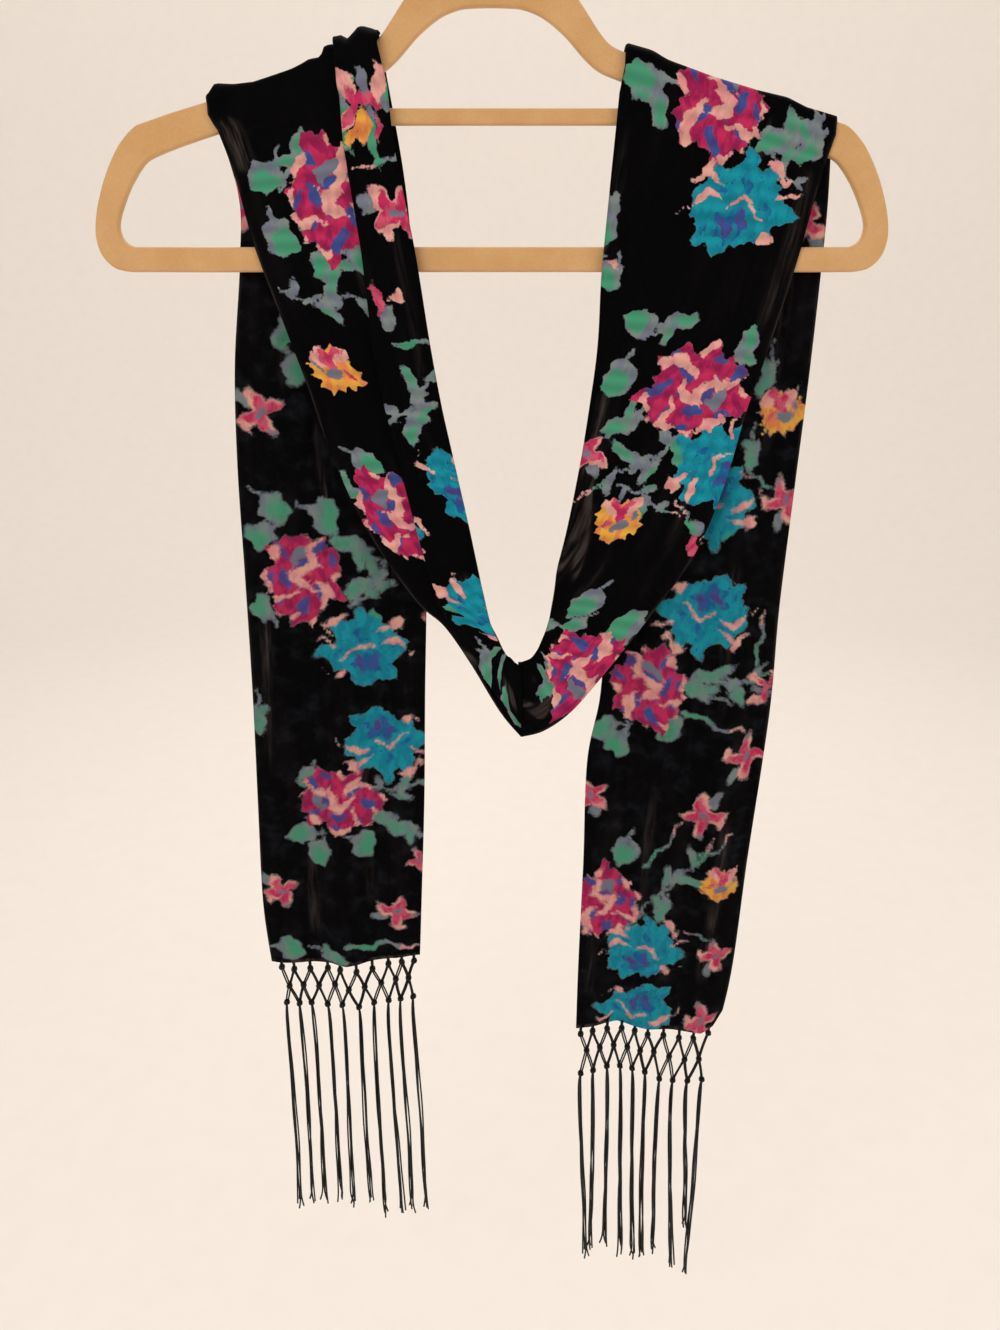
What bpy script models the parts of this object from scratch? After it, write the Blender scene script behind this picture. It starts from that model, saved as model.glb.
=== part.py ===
"""A velvet scarf hung on a clothes hanger, at real size.

Frame: metres, +Z up, +X to the right and +Y away from the viewer. The origin is the inside top of the hook,
where a rail carries the hanger. The scarf is one long strip: its middle hangs in front as a loop with a V at
the bottom, and each end goes over an arm of the hanger, hangs down behind it and ends in a knotted fringe.
"""

from math import cos, pi, radians, sin

import bmesh
import bpy
from mathutils import Vector

MM = 0.001

# Cloth, in millimetres like every table below
WALL = 1.1
FOLD_RADIUS = 1.15
SEAM_GAP = 0.35
STATIONS_FRONT = 24
STATIONS_TAIL = 15
LEFT_ARM = (-60.5, -154.5)
RIGHT_ARM = (72.0, 188.5)
PLEAT = 23.0
PLEAT_UNDER = 17.0
ARM_ROLL = 10.0
ROLL_EASE = 14.0
ROLL_MARGIN = 2.0
LEAST_LENGTH = 0.01
# Pieces of a section's line: a bend, the pleat's top and deepest layers, the rolled margin and the strip above it
BEND_PIECES = 4
TOP_PIECES = 3
DEEPEST_PIECES = 6
MARGIN_PIECES = 2
ABOVE_PIECES = 9
TAIL_WAVES = 2.5
WAVE_EASE = 18.0
WAVE_DRIFT = 160.0
LEFT_PHASE = 0.6
RIGHT_PHASE = 2.1
LUMP_POWER = 0.7

# Hanger
PLATE = 6.0
CHAMFER = 1.0
WIRE = 3.0
WIRE_SIDES = 10
SOCKET_SIDES = 16
HOOK_RADIUS = 20.0
SOCKET_DEPTH = 12.0
SOCKET_CLEARANCE = 0.25
NECK_TOP = -46.0
ARM_HIGH = (71.9, -107.8)
ARM_LOW = (194.4, -142.4)
ARCH_RISE = 0.55
HOOK_STEM = [(0.0, 0.4 - SOCKET_DEPTH), (0.0, 1.0), (0.6, 3.2), (2.6, 5.2)]
HOOK_START = -62
HOOK_END = 205
HOOK_PIECES = 24

# Right half of the hanger's outline, x and z, from the neck down to the middle of the lower bar
OUTLINE = [
    (5.5, NECK_TOP), (8.0, -58.0), (13.0, -66.5), (26.0, -70.0), (38.0, -76.0), (46.0, -83.3), (57.4, -98.0),
    (63.7, -104.3), ARM_HIGH, (110.0, -118.6), (150.0, -129.9), ARM_LOW, (205.1, -151.5), (214.7, -166.5),
    (221.9, -184.0), (224.7, -198.1), (222.6, -208.6), (216.0, -215.6), (206.0, -217.7), (120.0, -217.7),
]
# Right half of the gap under the arch, from its top to the middle of the upper bar
ARCH_GAP = [
    (14.0, -87.2), (26.0, -90.8), (38.6, -99.4), (49.9, -110.5), (58.1, -116.7), (70.8, -121.4),
    (104.0, -131.6), (106.5, -133.6), (103.0, -134.4), (60.0, -134.4),
]
# Right half of the gap between the bars
BAR_GAP = [
    (60.0, -142.6), (128.0, -142.6), (150.0, -146.6), (190.0, -159.8), (200.5, -171.3),
    (208.6, -186.1), (211.0, -194.4), (209.0, -201.2), (203.0, -204.4), (110.0, -204.4),
]

# How the cloth rounds an arm: the way out from the hanger in degrees (0 in front, 90 on top, 180 behind), then
# the cloth's middle surface from the arm's top line, y and z
AROUND_ARM = [(0, -4.3, -7.0), (0, -4.2, -2.6), (25, -3.9, -0.4), (58, -2.6, 1.3), (90, 0.0, 2.0),
              (122, 2.6, 1.3), (155, 3.9, -0.4), (180, 4.2, -2.6)]

# Left strand in front, from below the arm to the V. inner and outer are the strip's edges, y is its deepest
# layer, front is the width of the top layer and under the width folded back beneath it
LEFT_FRONT = [
    # inner_x, inner_z, outer_x, outer_z,    y, front, under
    (-56.0, -124.0, -149.5, -146.0, -4.3, 24, 17),
    (-52.5, -158.0, -142.5, -168.0, -4.3, 26, 19),
    (-43.4, -206.0, -134.0, -206.0, -4.5, 29, 21),
    (-36.0, -256.0, -118.0, -254.0, -5.0, 32, 24),
    (-30.0, -291.0, -107.5, -286.0, -5.2, 33, 27),
    (-24.5, -317.0, -98.0, -318.0, -5.4, 32, 30),
    (-15.0, -361.0, -78.0, -366.0, -5.8, 31, 25),
    (-6.2, -404.0, -49.5, -411.0, -6.0, 28, 24),
    (-0.5, -428.0, -31.0, -429.0, -6.0, 24, 22),
    (6.5, -443.0, -14.0, -455.0, -6.0, 20, 18),
    (12.0, -450.0, 4.0, -487.0, -6.2, 28, 26),
    (16.0, -453.0, 18.5, -505.5, -6.5, 40, 36),
]
# Right strand in front, from the V to below the arm. roll is the width of the margin rolled under at the inner
# edge
RIGHT_FRONT = [
    # inner_x, inner_z, outer_x, outer_z,    y, roll
    (16.4, -453.0, 18.9, -505.5, -6.5, 40),
    (20.0, -452.5, 34.0, -501.0, -6.5, 41),
    (26.0, -449.0, 52.0, -487.0, -6.4, 38),
    (31.0, -438.0, 74.0, -459.0, -6.3, 40),
    (38.0, -412.0, 99.0, -424.0, -6.0, 46),
    (45.0, -376.0, 125.0, -384.0, -5.8, 40),
    (53.0, -330.0, 141.0, -341.0, -5.4, 34),
    (58.5, -285.0, 151.0, -297.0, -5.0, 28),
    (62.0, -247.0, 162.0, -258.0, -4.7, 22),
    (64.5, -206.0, 173.5, -212.0, -4.5, 16),
    (67.0, -166.0, 180.5, -178.0, -4.3, 12),
    (69.5, -128.0, 185.5, -158.0, -4.3, 10),
]
# Tails behind, from below the arm to the hem. fold is the width of the pleat or rolled margin, bend its turn
# in degrees, wave the depth of the soft waves
LEFT_TAIL = [
    # inner_x, inner_z, outer_x, outer_z,   y, fold, bend, wave
    (-55.0, -124.0, -148.0, -150.0, 4.4, 17, 180, 0.0),
    (-50.0, -165.0, -143.5, -176.0, 4.5, 15, 180, 0.0),
    (-46.0, -212.0, -145.5, -212.0, 4.6, 12, 180, 0.0),
    (-43.0, -270.0, -154.0, -270.0, 5.0, 4, 180, 1.2),
    (-42.0, -330.0, -158.0, -330.0, 5.6, 0, 110, 2.0),
    (-42.5, -400.0, -159.5, -400.0, 6.2, 0, 60, 2.8),
    (-45.5, -480.0, -161.2, -480.0, 6.8, 0, 35, 3.2),
    (-48.0, -560.0, -163.8, -560.0, 7.0, 0, 25, 3.0),
    (-52.0, -640.0, -166.2, -640.0, 7.0, 0, 20, 2.4),
    (-54.4, -688.0, -163.8, -692.0, 7.0, 0, 15, 1.6),
]
RIGHT_TAIL = [
    # inner_x, inner_z, outer_x, outer_z,   y, fold, bend, wave
    (71.0, -128.0, 187.5, -160.0, 4.4, 10, 180, 0.0),
    (69.5, -168.0, 190.5, -182.0, 4.5, 9, 180, 0.0),
    (68.5, -216.0, 190.5, -219.0, 4.6, 7, 180, 0.0),
    (69.0, -280.0, 189.5, -280.0, 5.0, 3, 180, 1.4),
    (71.0, -345.0, 187.8, -345.0, 5.6, 0, 120, 2.4),
    (73.0, -420.0, 186.2, -420.0, 6.2, 0, 60, 3.2),
    (72.0, -480.0, 187.2, -480.0, 6.8, 0, 40, 3.6),
    (64.5, -530.0, 185.5, -530.0, 7.0, 0, 30, 3.4),
    (64.0, -610.0, 181.0, -610.0, 7.0, 0, 25, 3.0),
    (62.8, -690.0, 177.5, -690.0, 7.0, 0, 20, 2.2),
    (62.4, -748.0, 172.5, -744.0, 7.0, 0, 15, 1.6),
]

# Height of the cloth's uneven top above the arm, by distance from the strip's inner edge
LEFT_LUMPS = [
    (0, -7.4), (3, -4.4), (7, -1.8), (9.5, -1.0), (12.5, -2.4), (17, -4.6), (20, -1.6), (23, -1.2), (25.5, 0.6),
    (30, 1.6), (34, -3.2), (40, -1.6), (50, -3.6), (62, -2.4), (73, -1.6), (84, 1.0), (93, 4.6), (99, 1.0),
]
RIGHT_LUMPS = [(0, 0.0), (25, 0.8), (50, 0.0), (75, 0.4), (92, 1.6), (104, 0.0), (122, 0.4)]

# Fringes: across the hem, the places of the knots of the net in three rows, each with its row's mean drop below
# the hem and its knots' own small drops, and the heights at which the strands end under each last knot
LEFT_NET = [
    (5.2, [-157, -148, -136, -123, -114, -102, -90, -78, -68, -59], [0, 1, 0, 0, 0, 1, 1, 0, 0, 0]),
    (19.5, [-152.5, -142, -130.5, -118.5, -108.5, -96.5, -84, -73, -63.5], [2, 0, 1, 0, 2, 1, 1, 0, 0]),
    (36.5, [-155.5, -146, -137, -125, -114, -101.5, -90, -79, -70, -60.5],
     [0, 0, -1, 1, 0, 1, 0, 1, 1, 0]),
]
LEFT_ENDS = [-930, -927, -925, -924, -931, -926, -940, -937, -935, -934]
RIGHT_NET = [
    (5.2, [66, 75, 86, 97, 107, 117, 129, 141, 152, 163], [1, 0, 0, 0, 0, 1, 0, 1, 1, 0]),
    (21.5, [71, 81, 91.5, 102, 112, 122.5, 134.5, 146.5, 157.5], [1, 0, 0, 0, 1, 0, 3, 5, 4]),
    (40.5, [67, 76.5, 87, 97, 106.5, 116.5, 128, 138.5, 150, 161], [3, 2, 0, 0, 0, 1, 6, 6, 6, 7]),
]
RIGHT_ENDS = [-985, -978, -972, -984, -988, -986, -980, -997, -955, -1006]
KNOT_RADIUS = 2.2
NECK_WIDTH = 1.3
STRAND_WIDTH = 0.95
STRAND_PITCH = 1.75
STRANDS_A_KNOT = 4
STRAND_FOOT = 1.6
STRAND_DRIFT = 0.45
STRAND_ORDER = 7
STRAND_TURN = 1.7
END_STEP = 2.4
FRINGE_DEPTH = 1.5
BACKING_HEIGHT = 1.6
BACKING_MARGIN = 1.0
FOLLOW_LENGTH = 60.0

BLACK_VELVET = ((0.006, 0.006, 0.008), 0.85, 0.0)
BLACK_CORD = ((0.008, 0.008, 0.010), 0.6, 0.0)
TAN_FLOCK = ((0.72, 0.50, 0.28), 0.9, 0.0)
STEEL = ((0.62, 0.62, 0.62), 0.25, 1.0)


def clear_scene():
    """Removes whatever the scene holds."""
    for item in list(bpy.data.objects):
        bpy.data.objects.remove(item, do_unlink=True)


def material(name, finish):
    """A Principled material of a colour, a roughness and a metallic value."""
    colour, rough, metal = finish
    new = bpy.data.materials.new(name)
    new.use_nodes = True
    shader = new.node_tree.nodes["Principled BSDF"]
    shader.inputs["Base Color"].default_value = (*colour, 1.0)
    shader.inputs["Roughness"].default_value = rough
    shader.inputs["Metallic"].default_value = metal
    return new


def finish_object(name, bm, finish):
    """Turns a bmesh in millimetres into a named object in metres."""
    bmesh.ops.scale(bm, vec=(MM, MM, MM), verts=bm.verts)
    bmesh.ops.recalc_face_normals(bm, faces=bm.faces)
    mesh = bpy.data.meshes.new(name)
    bm.to_mesh(mesh)
    bm.free()
    piece = bpy.data.objects.new(name, mesh)
    bpy.context.collection.objects.link(piece)
    mesh.materials.append(material(name + "_finish", finish))
    mesh.shade_smooth()
    mesh.set_sharp_from_angle(angle=radians(40))
    return piece


def spline_rows(rows, count):
    """Rows of a table read at even steps from a smooth curve through them."""
    out = []
    for k in range(count):
        place = k / (count - 1) * (len(rows) - 1)
        i = min(int(place), len(rows) - 2)
        u = place - i
        a, b, c, d = (rows[min(max(j, 0), len(rows) - 1)] for j in (i - 1, i, i + 1, i + 2))
        out.append([
            0.5 * (2 * q + (r - p) * u + (2 * p - 5 * q + 4 * r - s) * u ** 2
                   + (3 * q - p - 3 * r + s) * u ** 3)
            for p, q, r, s in zip(a, b, c, d)
        ])
    return out


def walk(start_heading, steps, chord):
    """A fold's middle line, (w, h): straight lengths and bends in turn, and a last length up to the chord.

    w runs across the strip from its inner edge and h away from the hanger. A step is (length, bend, pieces); a
    length of None runs on to the chord.
    """
    w = h = 0.0
    heading = start_heading
    points = [(w, h)]
    for length, bend, pieces in steps:
        if length is None:
            length = chord - (w - min(p[0] for p in points))
        for _ in range(pieces):
            middle = heading + bend / pieces / 2
            w += length / pieces * cos(middle)
            h += length / pieces * sin(middle)
            heading += bend / pieces
            points.append((w, h))
    left = min(p[0] for p in points)
    return [(p[0] - left, p[1]) for p in points]


def pleat_line(chord, front, under, bend=pi):
    """A knife pleat: the top layer, a layer folded back beneath it, and the deepest layer out to the edge."""
    arc = FOLD_RADIUS * bend
    back = max(under, 0.0) + LEAST_LENGTH
    steps = [
        (front, 0, TOP_PIECES),
        (arc, -bend, BEND_PIECES),
        (back, 0, 1),
        (arc, bend, BEND_PIECES),
        (None, 0, DEEPEST_PIECES),
    ]
    line = walk(0.0, steps, chord)
    return [(w, h - line[-1][1]) for w, h in line]


def rolled_line(chord, roll, bend=pi):
    """A margin rolled under at the inner edge, and the strip above it that sinks to the hanger beyond it."""
    margin = max(roll, 0.0)
    arc = FOLD_RADIUS * bend
    steps = [(margin + LEAST_LENGTH, 0, MARGIN_PIECES), (arc, -bend, BEND_PIECES), (None, 0, ABOVE_PIECES)]
    line = walk(bend, steps, chord)
    top = line[-1][1]
    start = margin + ROLL_MARGIN
    room = max(chord - start - ROLL_MARGIN, 1.0)
    first_above = MARGIN_PIECES + BEND_PIECES + 1
    eased = []
    for i, (w, h) in enumerate(line):
        share = 0.0 if i < first_above else min(max((w - start) / min(ROLL_EASE, room), 0.0), 1.0)
        eased.append((w, h - top * share * share * (3 - 2 * share)))
    return eased


def add_waves(line, chord, depth, phase):
    """Soft waves across a line, still at its inner edge and full towards the middle."""
    return [
        (w, h + depth * sin(2 * pi * TAIL_WAVES * w / chord + phase) * min(1.0, w / WAVE_EASE))
        for w, h in line
    ]


def station(inner, outer, out, line):
    """A closed ring of points round the wall of a section whose middle line is given."""
    inner, outer, out = Vector(inner), Vector(outer), Vector(out).normalized()
    across = (outer - inner).normalized()
    out = (out - across * out.dot(across)).normalized()
    front_side, back_side = [], []
    for i, (w, h) in enumerate(line):
        before, after = line[max(i - 1, 0)], line[min(i + 1, len(line) - 1)]
        along = Vector((after[0] - before[0], after[1] - before[1])).normalized()
        normal = Vector((-along.y, along.x)) * WALL / 2
        for side, sign in ((front_side, 1), (back_side, -1)):
            side.append(inner + across * (w + sign * normal.x) + out * (h + sign * normal.y))
    return front_side + back_side[::-1]


def loft(name, rings, finish):
    """A closed solid through rings of equal length, with a strip of faces across the wall at each end."""
    bm = bmesh.new()
    made = [[bm.verts.new(p) for p in ring] for ring in rings]
    n = len(rings[0])
    for a, b in zip(made, made[1:]):
        for i in range(n):
            j = (i + 1) % n
            bm.faces.new((a[i], a[j], b[j], b[i]))
    for ring in (made[0], made[-1]):
        for i in range(n // 2 - 1):
            bm.faces.new((ring[i], ring[i + 1], ring[n - 2 - i], ring[n - 1 - i]))
    return finish_object(name, bm, finish)


def arm_top(x):
    """Height of the arm's top line at a distance from the middle, on the straight arm or the arch beside it."""
    slope = (ARM_LOW[1] - ARM_HIGH[1]) / (ARM_LOW[0] - ARM_HIGH[0])
    rise = max(ARM_HIGH[0] - abs(x), 0.0) * ARCH_RISE
    return ARM_HIGH[1] + slope * (abs(x) - ARM_HIGH[0]) + rise


def arm_rings(arm, lumps, line_of):
    """Rings of a strip that rounds an arm, from front to back, lifted off it by the lumps of its folds."""
    inner_x, outer_x = arm
    rings = []
    for angle, y, rise in AROUND_ARM:
        out = (0.0, -cos(radians(angle)), sin(radians(angle)))
        inner = Vector((inner_x, y, arm_top(inner_x) + rise))
        outer = Vector((outer_x, y, arm_top(outer_x) + rise))
        line = line_of((outer - inner).length)
        lift = sin(radians(angle)) ** LUMP_POWER if 0 < angle < 180 else 0.0
        rings.append(station(inner, outer, out, [(w, h + lift * read_table(lumps, w)) for w, h in line]))
    return rings


def front_rings(rows, line_of):
    """Rings of a strand in front of the hanger."""
    rings = []
    for row in spline_rows(rows, STATIONS_FRONT):
        inner, outer = Vector((row[0], row[4], row[1])), Vector((row[2], row[4], row[3]))
        rings.append(station(inner, outer, (0, -1, 0), line_of((outer - inner).length, row)))
    return rings


def build_front_left():
    """The left strand in front, and its stretch over the arm."""
    strand = front_rings(LEFT_FRONT, lambda chord, row: pleat_line(chord, row[5], row[6]))
    over = arm_rings(LEFT_ARM, LEFT_LUMPS, lambda chord: pleat_line(chord, PLEAT, PLEAT_UNDER))
    return loft("front_left", strand[::-1] + over, BLACK_VELVET)


def build_front_right():
    """The right strand in front, and its stretch over the arm."""
    strand = front_rings(RIGHT_FRONT, lambda chord, row: rolled_line(chord, row[5]))
    over = arm_rings(RIGHT_ARM, RIGHT_LUMPS, lambda chord: rolled_line(chord, ARM_ROLL))
    return loft("front_right", strand + over, BLACK_VELVET)


def build_tail(name, rows, line_of, phase):
    """A tail behind the hanger, from under the stretch over the arm down to the hem, whose line it returns."""
    rings = []
    for row in spline_rows(rows, STATIONS_TAIL):
        inner, outer = Vector((row[0], row[4], row[1])), Vector((row[2], row[4], row[3]))
        chord = (outer - inner).length
        line = add_waves(line_of(chord, row), chord, row[7], phase + row[1] / WAVE_DRIFT)
        rings.append(station(inner, outer, (0, 1, 0), line))
    loft(name, rings, BLACK_VELVET)
    half = len(rings[-1]) // 2
    return [(a + b) / 2 for a, b in zip(rings[-1][:half], reversed(rings[-1][half:]))]


def tail_rows(rows, arm):
    """The tail's table with its first row moved up to a seam's width below the stretch over the arm."""
    inner_x, outer_x = arm
    drop = AROUND_ARM[-1][2] - SEAM_GAP
    edges = (inner_x, arm_top(inner_x) + drop, outer_x, arm_top(outer_x) + drop)
    return [edges + (AROUND_ARM[-1][1],) + rows[0][5:]] + rows[1:]


def read_table(table, place):
    """A value read between the rows of a short table of places and values."""
    for (a, low), (b, high) in zip(table, table[1:]):
        if place <= b:
            return low + (high - low) * max(place - a, 0.0) / (b - a)
    return table[-1][1]


def hexagon(bm, x, z):
    """A knot's six corners, from its upper right one round to the left."""
    turns = [pi * (k + 1) / 3 for k in range(6)]
    return [bm.verts.new((x + KNOT_RADIUS * cos(turn), 0.0, z + KNOT_RADIUS * sin(turn))) for turn in turns]


def strands_under(bm, corners, x, z, end):
    """The lower edge of a last knot drawn out into a foot, and the strands that hang from it."""
    half = (STRANDS_A_KNOT - 1) * STRAND_PITCH / 2 + STRAND_WIDTH / 2
    foot = z - KNOT_RADIUS - STRAND_FOOT
    edge = []
    for k in range(STRANDS_A_KNOT):
        left = x - half + k * STRAND_PITCH
        edge += [(left, foot), (left + STRAND_WIDTH, foot)]
    verts = [bm.verts.new((px, 0.0, pz)) for px, pz in edge]
    bm.faces.new([corners[3], corners[4]] + verts[::-1])
    for k in range(STRANDS_A_KNOT):
        a, b = verts[2 * k], verts[2 * k + 1]
        length = end - foot + (k * STRAND_ORDER % STRANDS_A_KNOT) * END_STEP
        for share in (0.5, 1.0):
            drift = STRAND_DRIFT * sin(STRAND_TURN * k + x) * share
            c = bm.verts.new((verts[2 * k].co.x + drift, 0.0, foot + length * share))
            d = bm.verts.new((verts[2 * k + 1].co.x + drift, 0.0, foot + length * share))
            bm.faces.new((a, b, d, c))
            a, b = c, d


def build_fringe(name, net, ends, hem):
    """A fringe below a hem: backing strip, a net of knots in three rows joined by cords, and loose strands.

    hem is the middle line of the tail's last ring. The fringe is drawn flat, given its thickness and then moved
    in y so that its top follows the hem.
    """
    bm = bmesh.new()
    left, right = (hem[0], hem[-1]) if hem[0].x < hem[-1].x else (hem[-1], hem[0])

    def hem_z(x):
        return left.z + (right.z - left.z) * (x - left.x) / (right.x - left.x) - SEAM_GAP

    places = [left.x + BACKING_MARGIN]
    for x in net[0][1]:
        places += [x - NECK_WIDTH, x + NECK_WIDTH]
    places.append(right.x - BACKING_MARGIN)
    top = [bm.verts.new((x, 0.0, hem_z(x))) for x in places]
    low = [bm.verts.new((x, 0.0, hem_z(x) - BACKING_HEIGHT)) for x in places]
    for i in range(len(places) - 1):
        bm.faces.new((top[i], top[i + 1], low[i + 1], low[i]))
    rows = []
    for drop, across, own in net:
        heights = [hem_z(x) - drop - extra for x, extra in zip(across, own)]
        knots = [hexagon(bm, x, z) for x, z in zip(across, heights)]
        for corners in knots:
            bm.faces.new(corners)
        rows.append((across, heights, knots))
    for i, corners in enumerate(rows[0][2]):
        bm.faces.new((low[2 * i + 1], low[2 * i + 2], corners[0], corners[1]))
    for upper, lower in ((rows[0][2], rows[1][2]), (rows[1][2], rows[2][2])):
        shift = 0 if len(upper) > len(lower) else 1
        for i, corners in enumerate(upper):
            if 0 <= i - 1 + shift < len(lower):
                under = lower[i - 1 + shift]
                bm.faces.new((corners[2], corners[3], under[0], under[5]))
            if i + shift < len(lower):
                under = lower[i + shift]
                bm.faces.new((corners[4], corners[5], under[2], under[1]))
    for x, z, corners, end in zip(*rows[2], ends):
        strands_under(bm, corners, x, z, end)
    grown = bmesh.ops.extrude_face_region(bm, geom=bm.faces[:])["geom"]
    back = [item for item in grown if isinstance(item, bmesh.types.BMVert)]
    bmesh.ops.translate(bm, vec=(0.0, FRINGE_DEPTH, 0.0), verts=back)
    line = sorted((p.x, p.y) for p in hem)
    for vert in bm.verts:
        near = max(0.0, 1.0 - (hem_z(vert.co.x) - vert.co.z) / FOLLOW_LENGTH)
        vert.co.y += (read_table(line, vert.co.x) - hem[0].y) * near + hem[0].y - FRINGE_DEPTH / 2
    return finish_object(name, bm, BLACK_CORD)


def tube(name, path, radius, sides, finish):
    """A round wire along a path in the plane y = 0."""
    bm = bmesh.new()
    rings = []
    for i, (x, z) in enumerate(path):
        before, after = path[max(i - 1, 0)], path[min(i + 1, len(path) - 1)]
        side = Vector((after[0] - before[0], after[1] - before[1])).normalized().orthogonal()
        ring = []
        for k in range(sides):
            reach, depth = radius * cos(2 * pi * k / sides), radius * sin(2 * pi * k / sides)
            ring.append(bm.verts.new((x + reach * side.x, depth, z + reach * side.y)))
        rings.append(ring)
    for a, b in zip(rings, rings[1:]):
        for i in range(sides):
            bm.faces.new((a[i], a[(i + 1) % sides], b[(i + 1) % sides], b[i]))
    bm.faces.new(rings[0])
    bm.faces.new(rings[-1])
    return finish_object(name, bm, finish)


def build_hook():
    """The wire hook: a stem in the neck's socket, a bend, and an arc over the rail."""
    centre = WIRE / 2 - HOOK_RADIUS
    path = [(x, NECK_TOP + rise) for x, rise in HOOK_STEM]
    for k in range(HOOK_PIECES + 1):
        angle = radians(HOOK_START + (HOOK_END - HOOK_START) * k / HOOK_PIECES)
        path.append((HOOK_RADIUS * cos(angle), centre + HOOK_RADIUS * sin(angle)))
    return tube("hanger_hook", path, WIRE / 2, WIRE_SIDES, STEEL)


def cut_socket(hanger):
    """Cuts the round socket for the hook's stem into the top of the neck."""
    bm = bmesh.new()
    bmesh.ops.create_cone(bm, cap_ends=True, segments=SOCKET_SIDES, radius1=WIRE / 2 + SOCKET_CLEARANCE,
                          radius2=WIRE / 2 + SOCKET_CLEARANCE, depth=2 * SOCKET_DEPTH)
    bmesh.ops.translate(bm, vec=(0.0, 0.0, NECK_TOP), verts=bm.verts)
    cutter = finish_object("socket_cutter", bm, STEEL)
    cutter.hide_render = True
    cutter.display_type = "WIRE"
    cut = hanger.modifiers.new("socket", "BOOLEAN")
    cut.operation = "DIFFERENCE"
    cut.solver = "EXACT"
    cut.object = cutter


def mirrored(points):
    """A right half outline closed with its mirror image."""
    return points + [(-x, z) for x, z in reversed(points)]


def inset_loop(points, distance):
    """A closed outline moved to its left by a distance."""
    out = []
    for i, p in enumerate(points):
        before = Vector(p) - Vector(points[i - 1])
        after = Vector(points[(i + 1) % len(points)]) - Vector(p)
        a = Vector((-before.y, before.x)).normalized()
        b = Vector((-after.y, after.x)).normalized()
        out.append(Vector(p) + (a + b) * distance / max(1.0 + a.dot(b), 0.4))
    return out


def build_hanger():
    """The flat hanger: an arch, two arms and two bars cut from one plate with chamfered rims."""
    outer = mirrored(OUTLINE)
    gaps = [mirrored(ARCH_GAP), mirrored(BAR_GAP)]
    bm = bmesh.new()
    half = PLATE / 2
    caps = []
    for y in (-half, half):
        loops = []
        for points, way in [(outer, -1)] + [(gap, 1) for gap in gaps]:
            loops.append([bm.verts.new((p.x, y, p.y)) for p in inset_loop(points, way * CHAMFER)])
        caps.append(loops)
    rims = []
    for y in (-half + CHAMFER, half - CHAMFER):
        rims.append([[bm.verts.new((x, y, z)) for x, z in points] for points in [outer] + gaps])
    for low, high in ((caps[0], rims[0]), (rims[0], rims[1]), (rims[1], caps[1])):
        for a, b in zip(low, high):
            for i in range(len(a)):
                j = (i + 1) % len(a)
                bm.faces.new((a[i], a[j], b[j], b[i]))
    for cap in caps:
        edges = [bm.edges.get((loop[i - 1], loop[i])) for loop in cap for i in range(len(loop))]
        bmesh.ops.triangle_fill(bm, use_beauty=True, use_dissolve=False, edges=edges)
    return finish_object("hanger", bm, TAN_FLOCK)


def main():
    clear_scene()
    cut_socket(build_hanger())
    build_hook()
    build_front_left()
    build_front_right()
    left_hem = build_tail("tail_left", tail_rows(LEFT_TAIL, LEFT_ARM),
                          lambda chord, row: pleat_line(chord, PLEAT, row[5], radians(row[6])), LEFT_PHASE)
    right_hem = build_tail("tail_right", tail_rows(RIGHT_TAIL, RIGHT_ARM),
                           lambda chord, row: rolled_line(chord, row[5], radians(row[6])), RIGHT_PHASE)
    build_fringe("fringe_left", LEFT_NET, LEFT_ENDS, left_hem)
    build_fringe("fringe_right", RIGHT_NET, RIGHT_ENDS, right_hem)


main()
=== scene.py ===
from math import cos, exp, hypot, pi, radians, sin

import bmesh
import bpy
import numpy as np
from bpy.props import FloatProperty, FloatVectorProperty, PointerProperty
from mathutils import Matrix, Vector


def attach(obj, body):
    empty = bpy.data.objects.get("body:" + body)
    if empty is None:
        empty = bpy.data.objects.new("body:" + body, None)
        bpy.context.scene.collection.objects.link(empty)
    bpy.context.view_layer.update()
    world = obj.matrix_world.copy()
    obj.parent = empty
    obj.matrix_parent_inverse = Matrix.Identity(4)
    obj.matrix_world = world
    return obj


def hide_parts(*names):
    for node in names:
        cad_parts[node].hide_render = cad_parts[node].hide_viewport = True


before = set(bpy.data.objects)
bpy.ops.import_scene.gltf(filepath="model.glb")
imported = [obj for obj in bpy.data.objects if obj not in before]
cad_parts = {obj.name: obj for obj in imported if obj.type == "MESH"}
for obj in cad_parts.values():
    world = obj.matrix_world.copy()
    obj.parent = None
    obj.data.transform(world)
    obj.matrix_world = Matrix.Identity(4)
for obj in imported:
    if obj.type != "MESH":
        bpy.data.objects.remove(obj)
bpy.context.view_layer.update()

bl_info = {
    "name": "Velvet scarf on a hanger",
    "version": (1, 0, 0),
    "blender": (4, 5, 0),
    "location": "View3D > Sidebar > Scarf",
    "description": "Builds a printed burnout velvet scarf draped over a clothes hanger",
    "category": "Add Mesh",
}

MM = 0.001

# Sizes of the strip, in millimetres
CLOTH_WIDTH = 133.0
SEAM_GAP = 0.05
FOLD_RADIUS = 1.15
# How many pieces the lines of a fold are cut into: the pleat's top, its bends, the layer beneath and the
# deepest layer, then the rolled margin, its bend and the strip beyond it
TOP_PIECES, BEND_PIECES, UNDER_PIECES, DEEP_PIECES = 16, 7, 12, 46
ROLL_PIECES, ROLL_BEND_PIECES, BEYOND_PIECES = 22, 8, 64
# The pleat and the rolled margin: how soon the strip sinks beyond the roll, the least length of a layer, and
# the widths of their layers over an arm
ROLL_EASE = 14.0
LEAST = 0.01
PLEAT_TOP = 23.0
PLEAT_UNDER = 17.0
ARM_ROLL = 10.0
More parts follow.
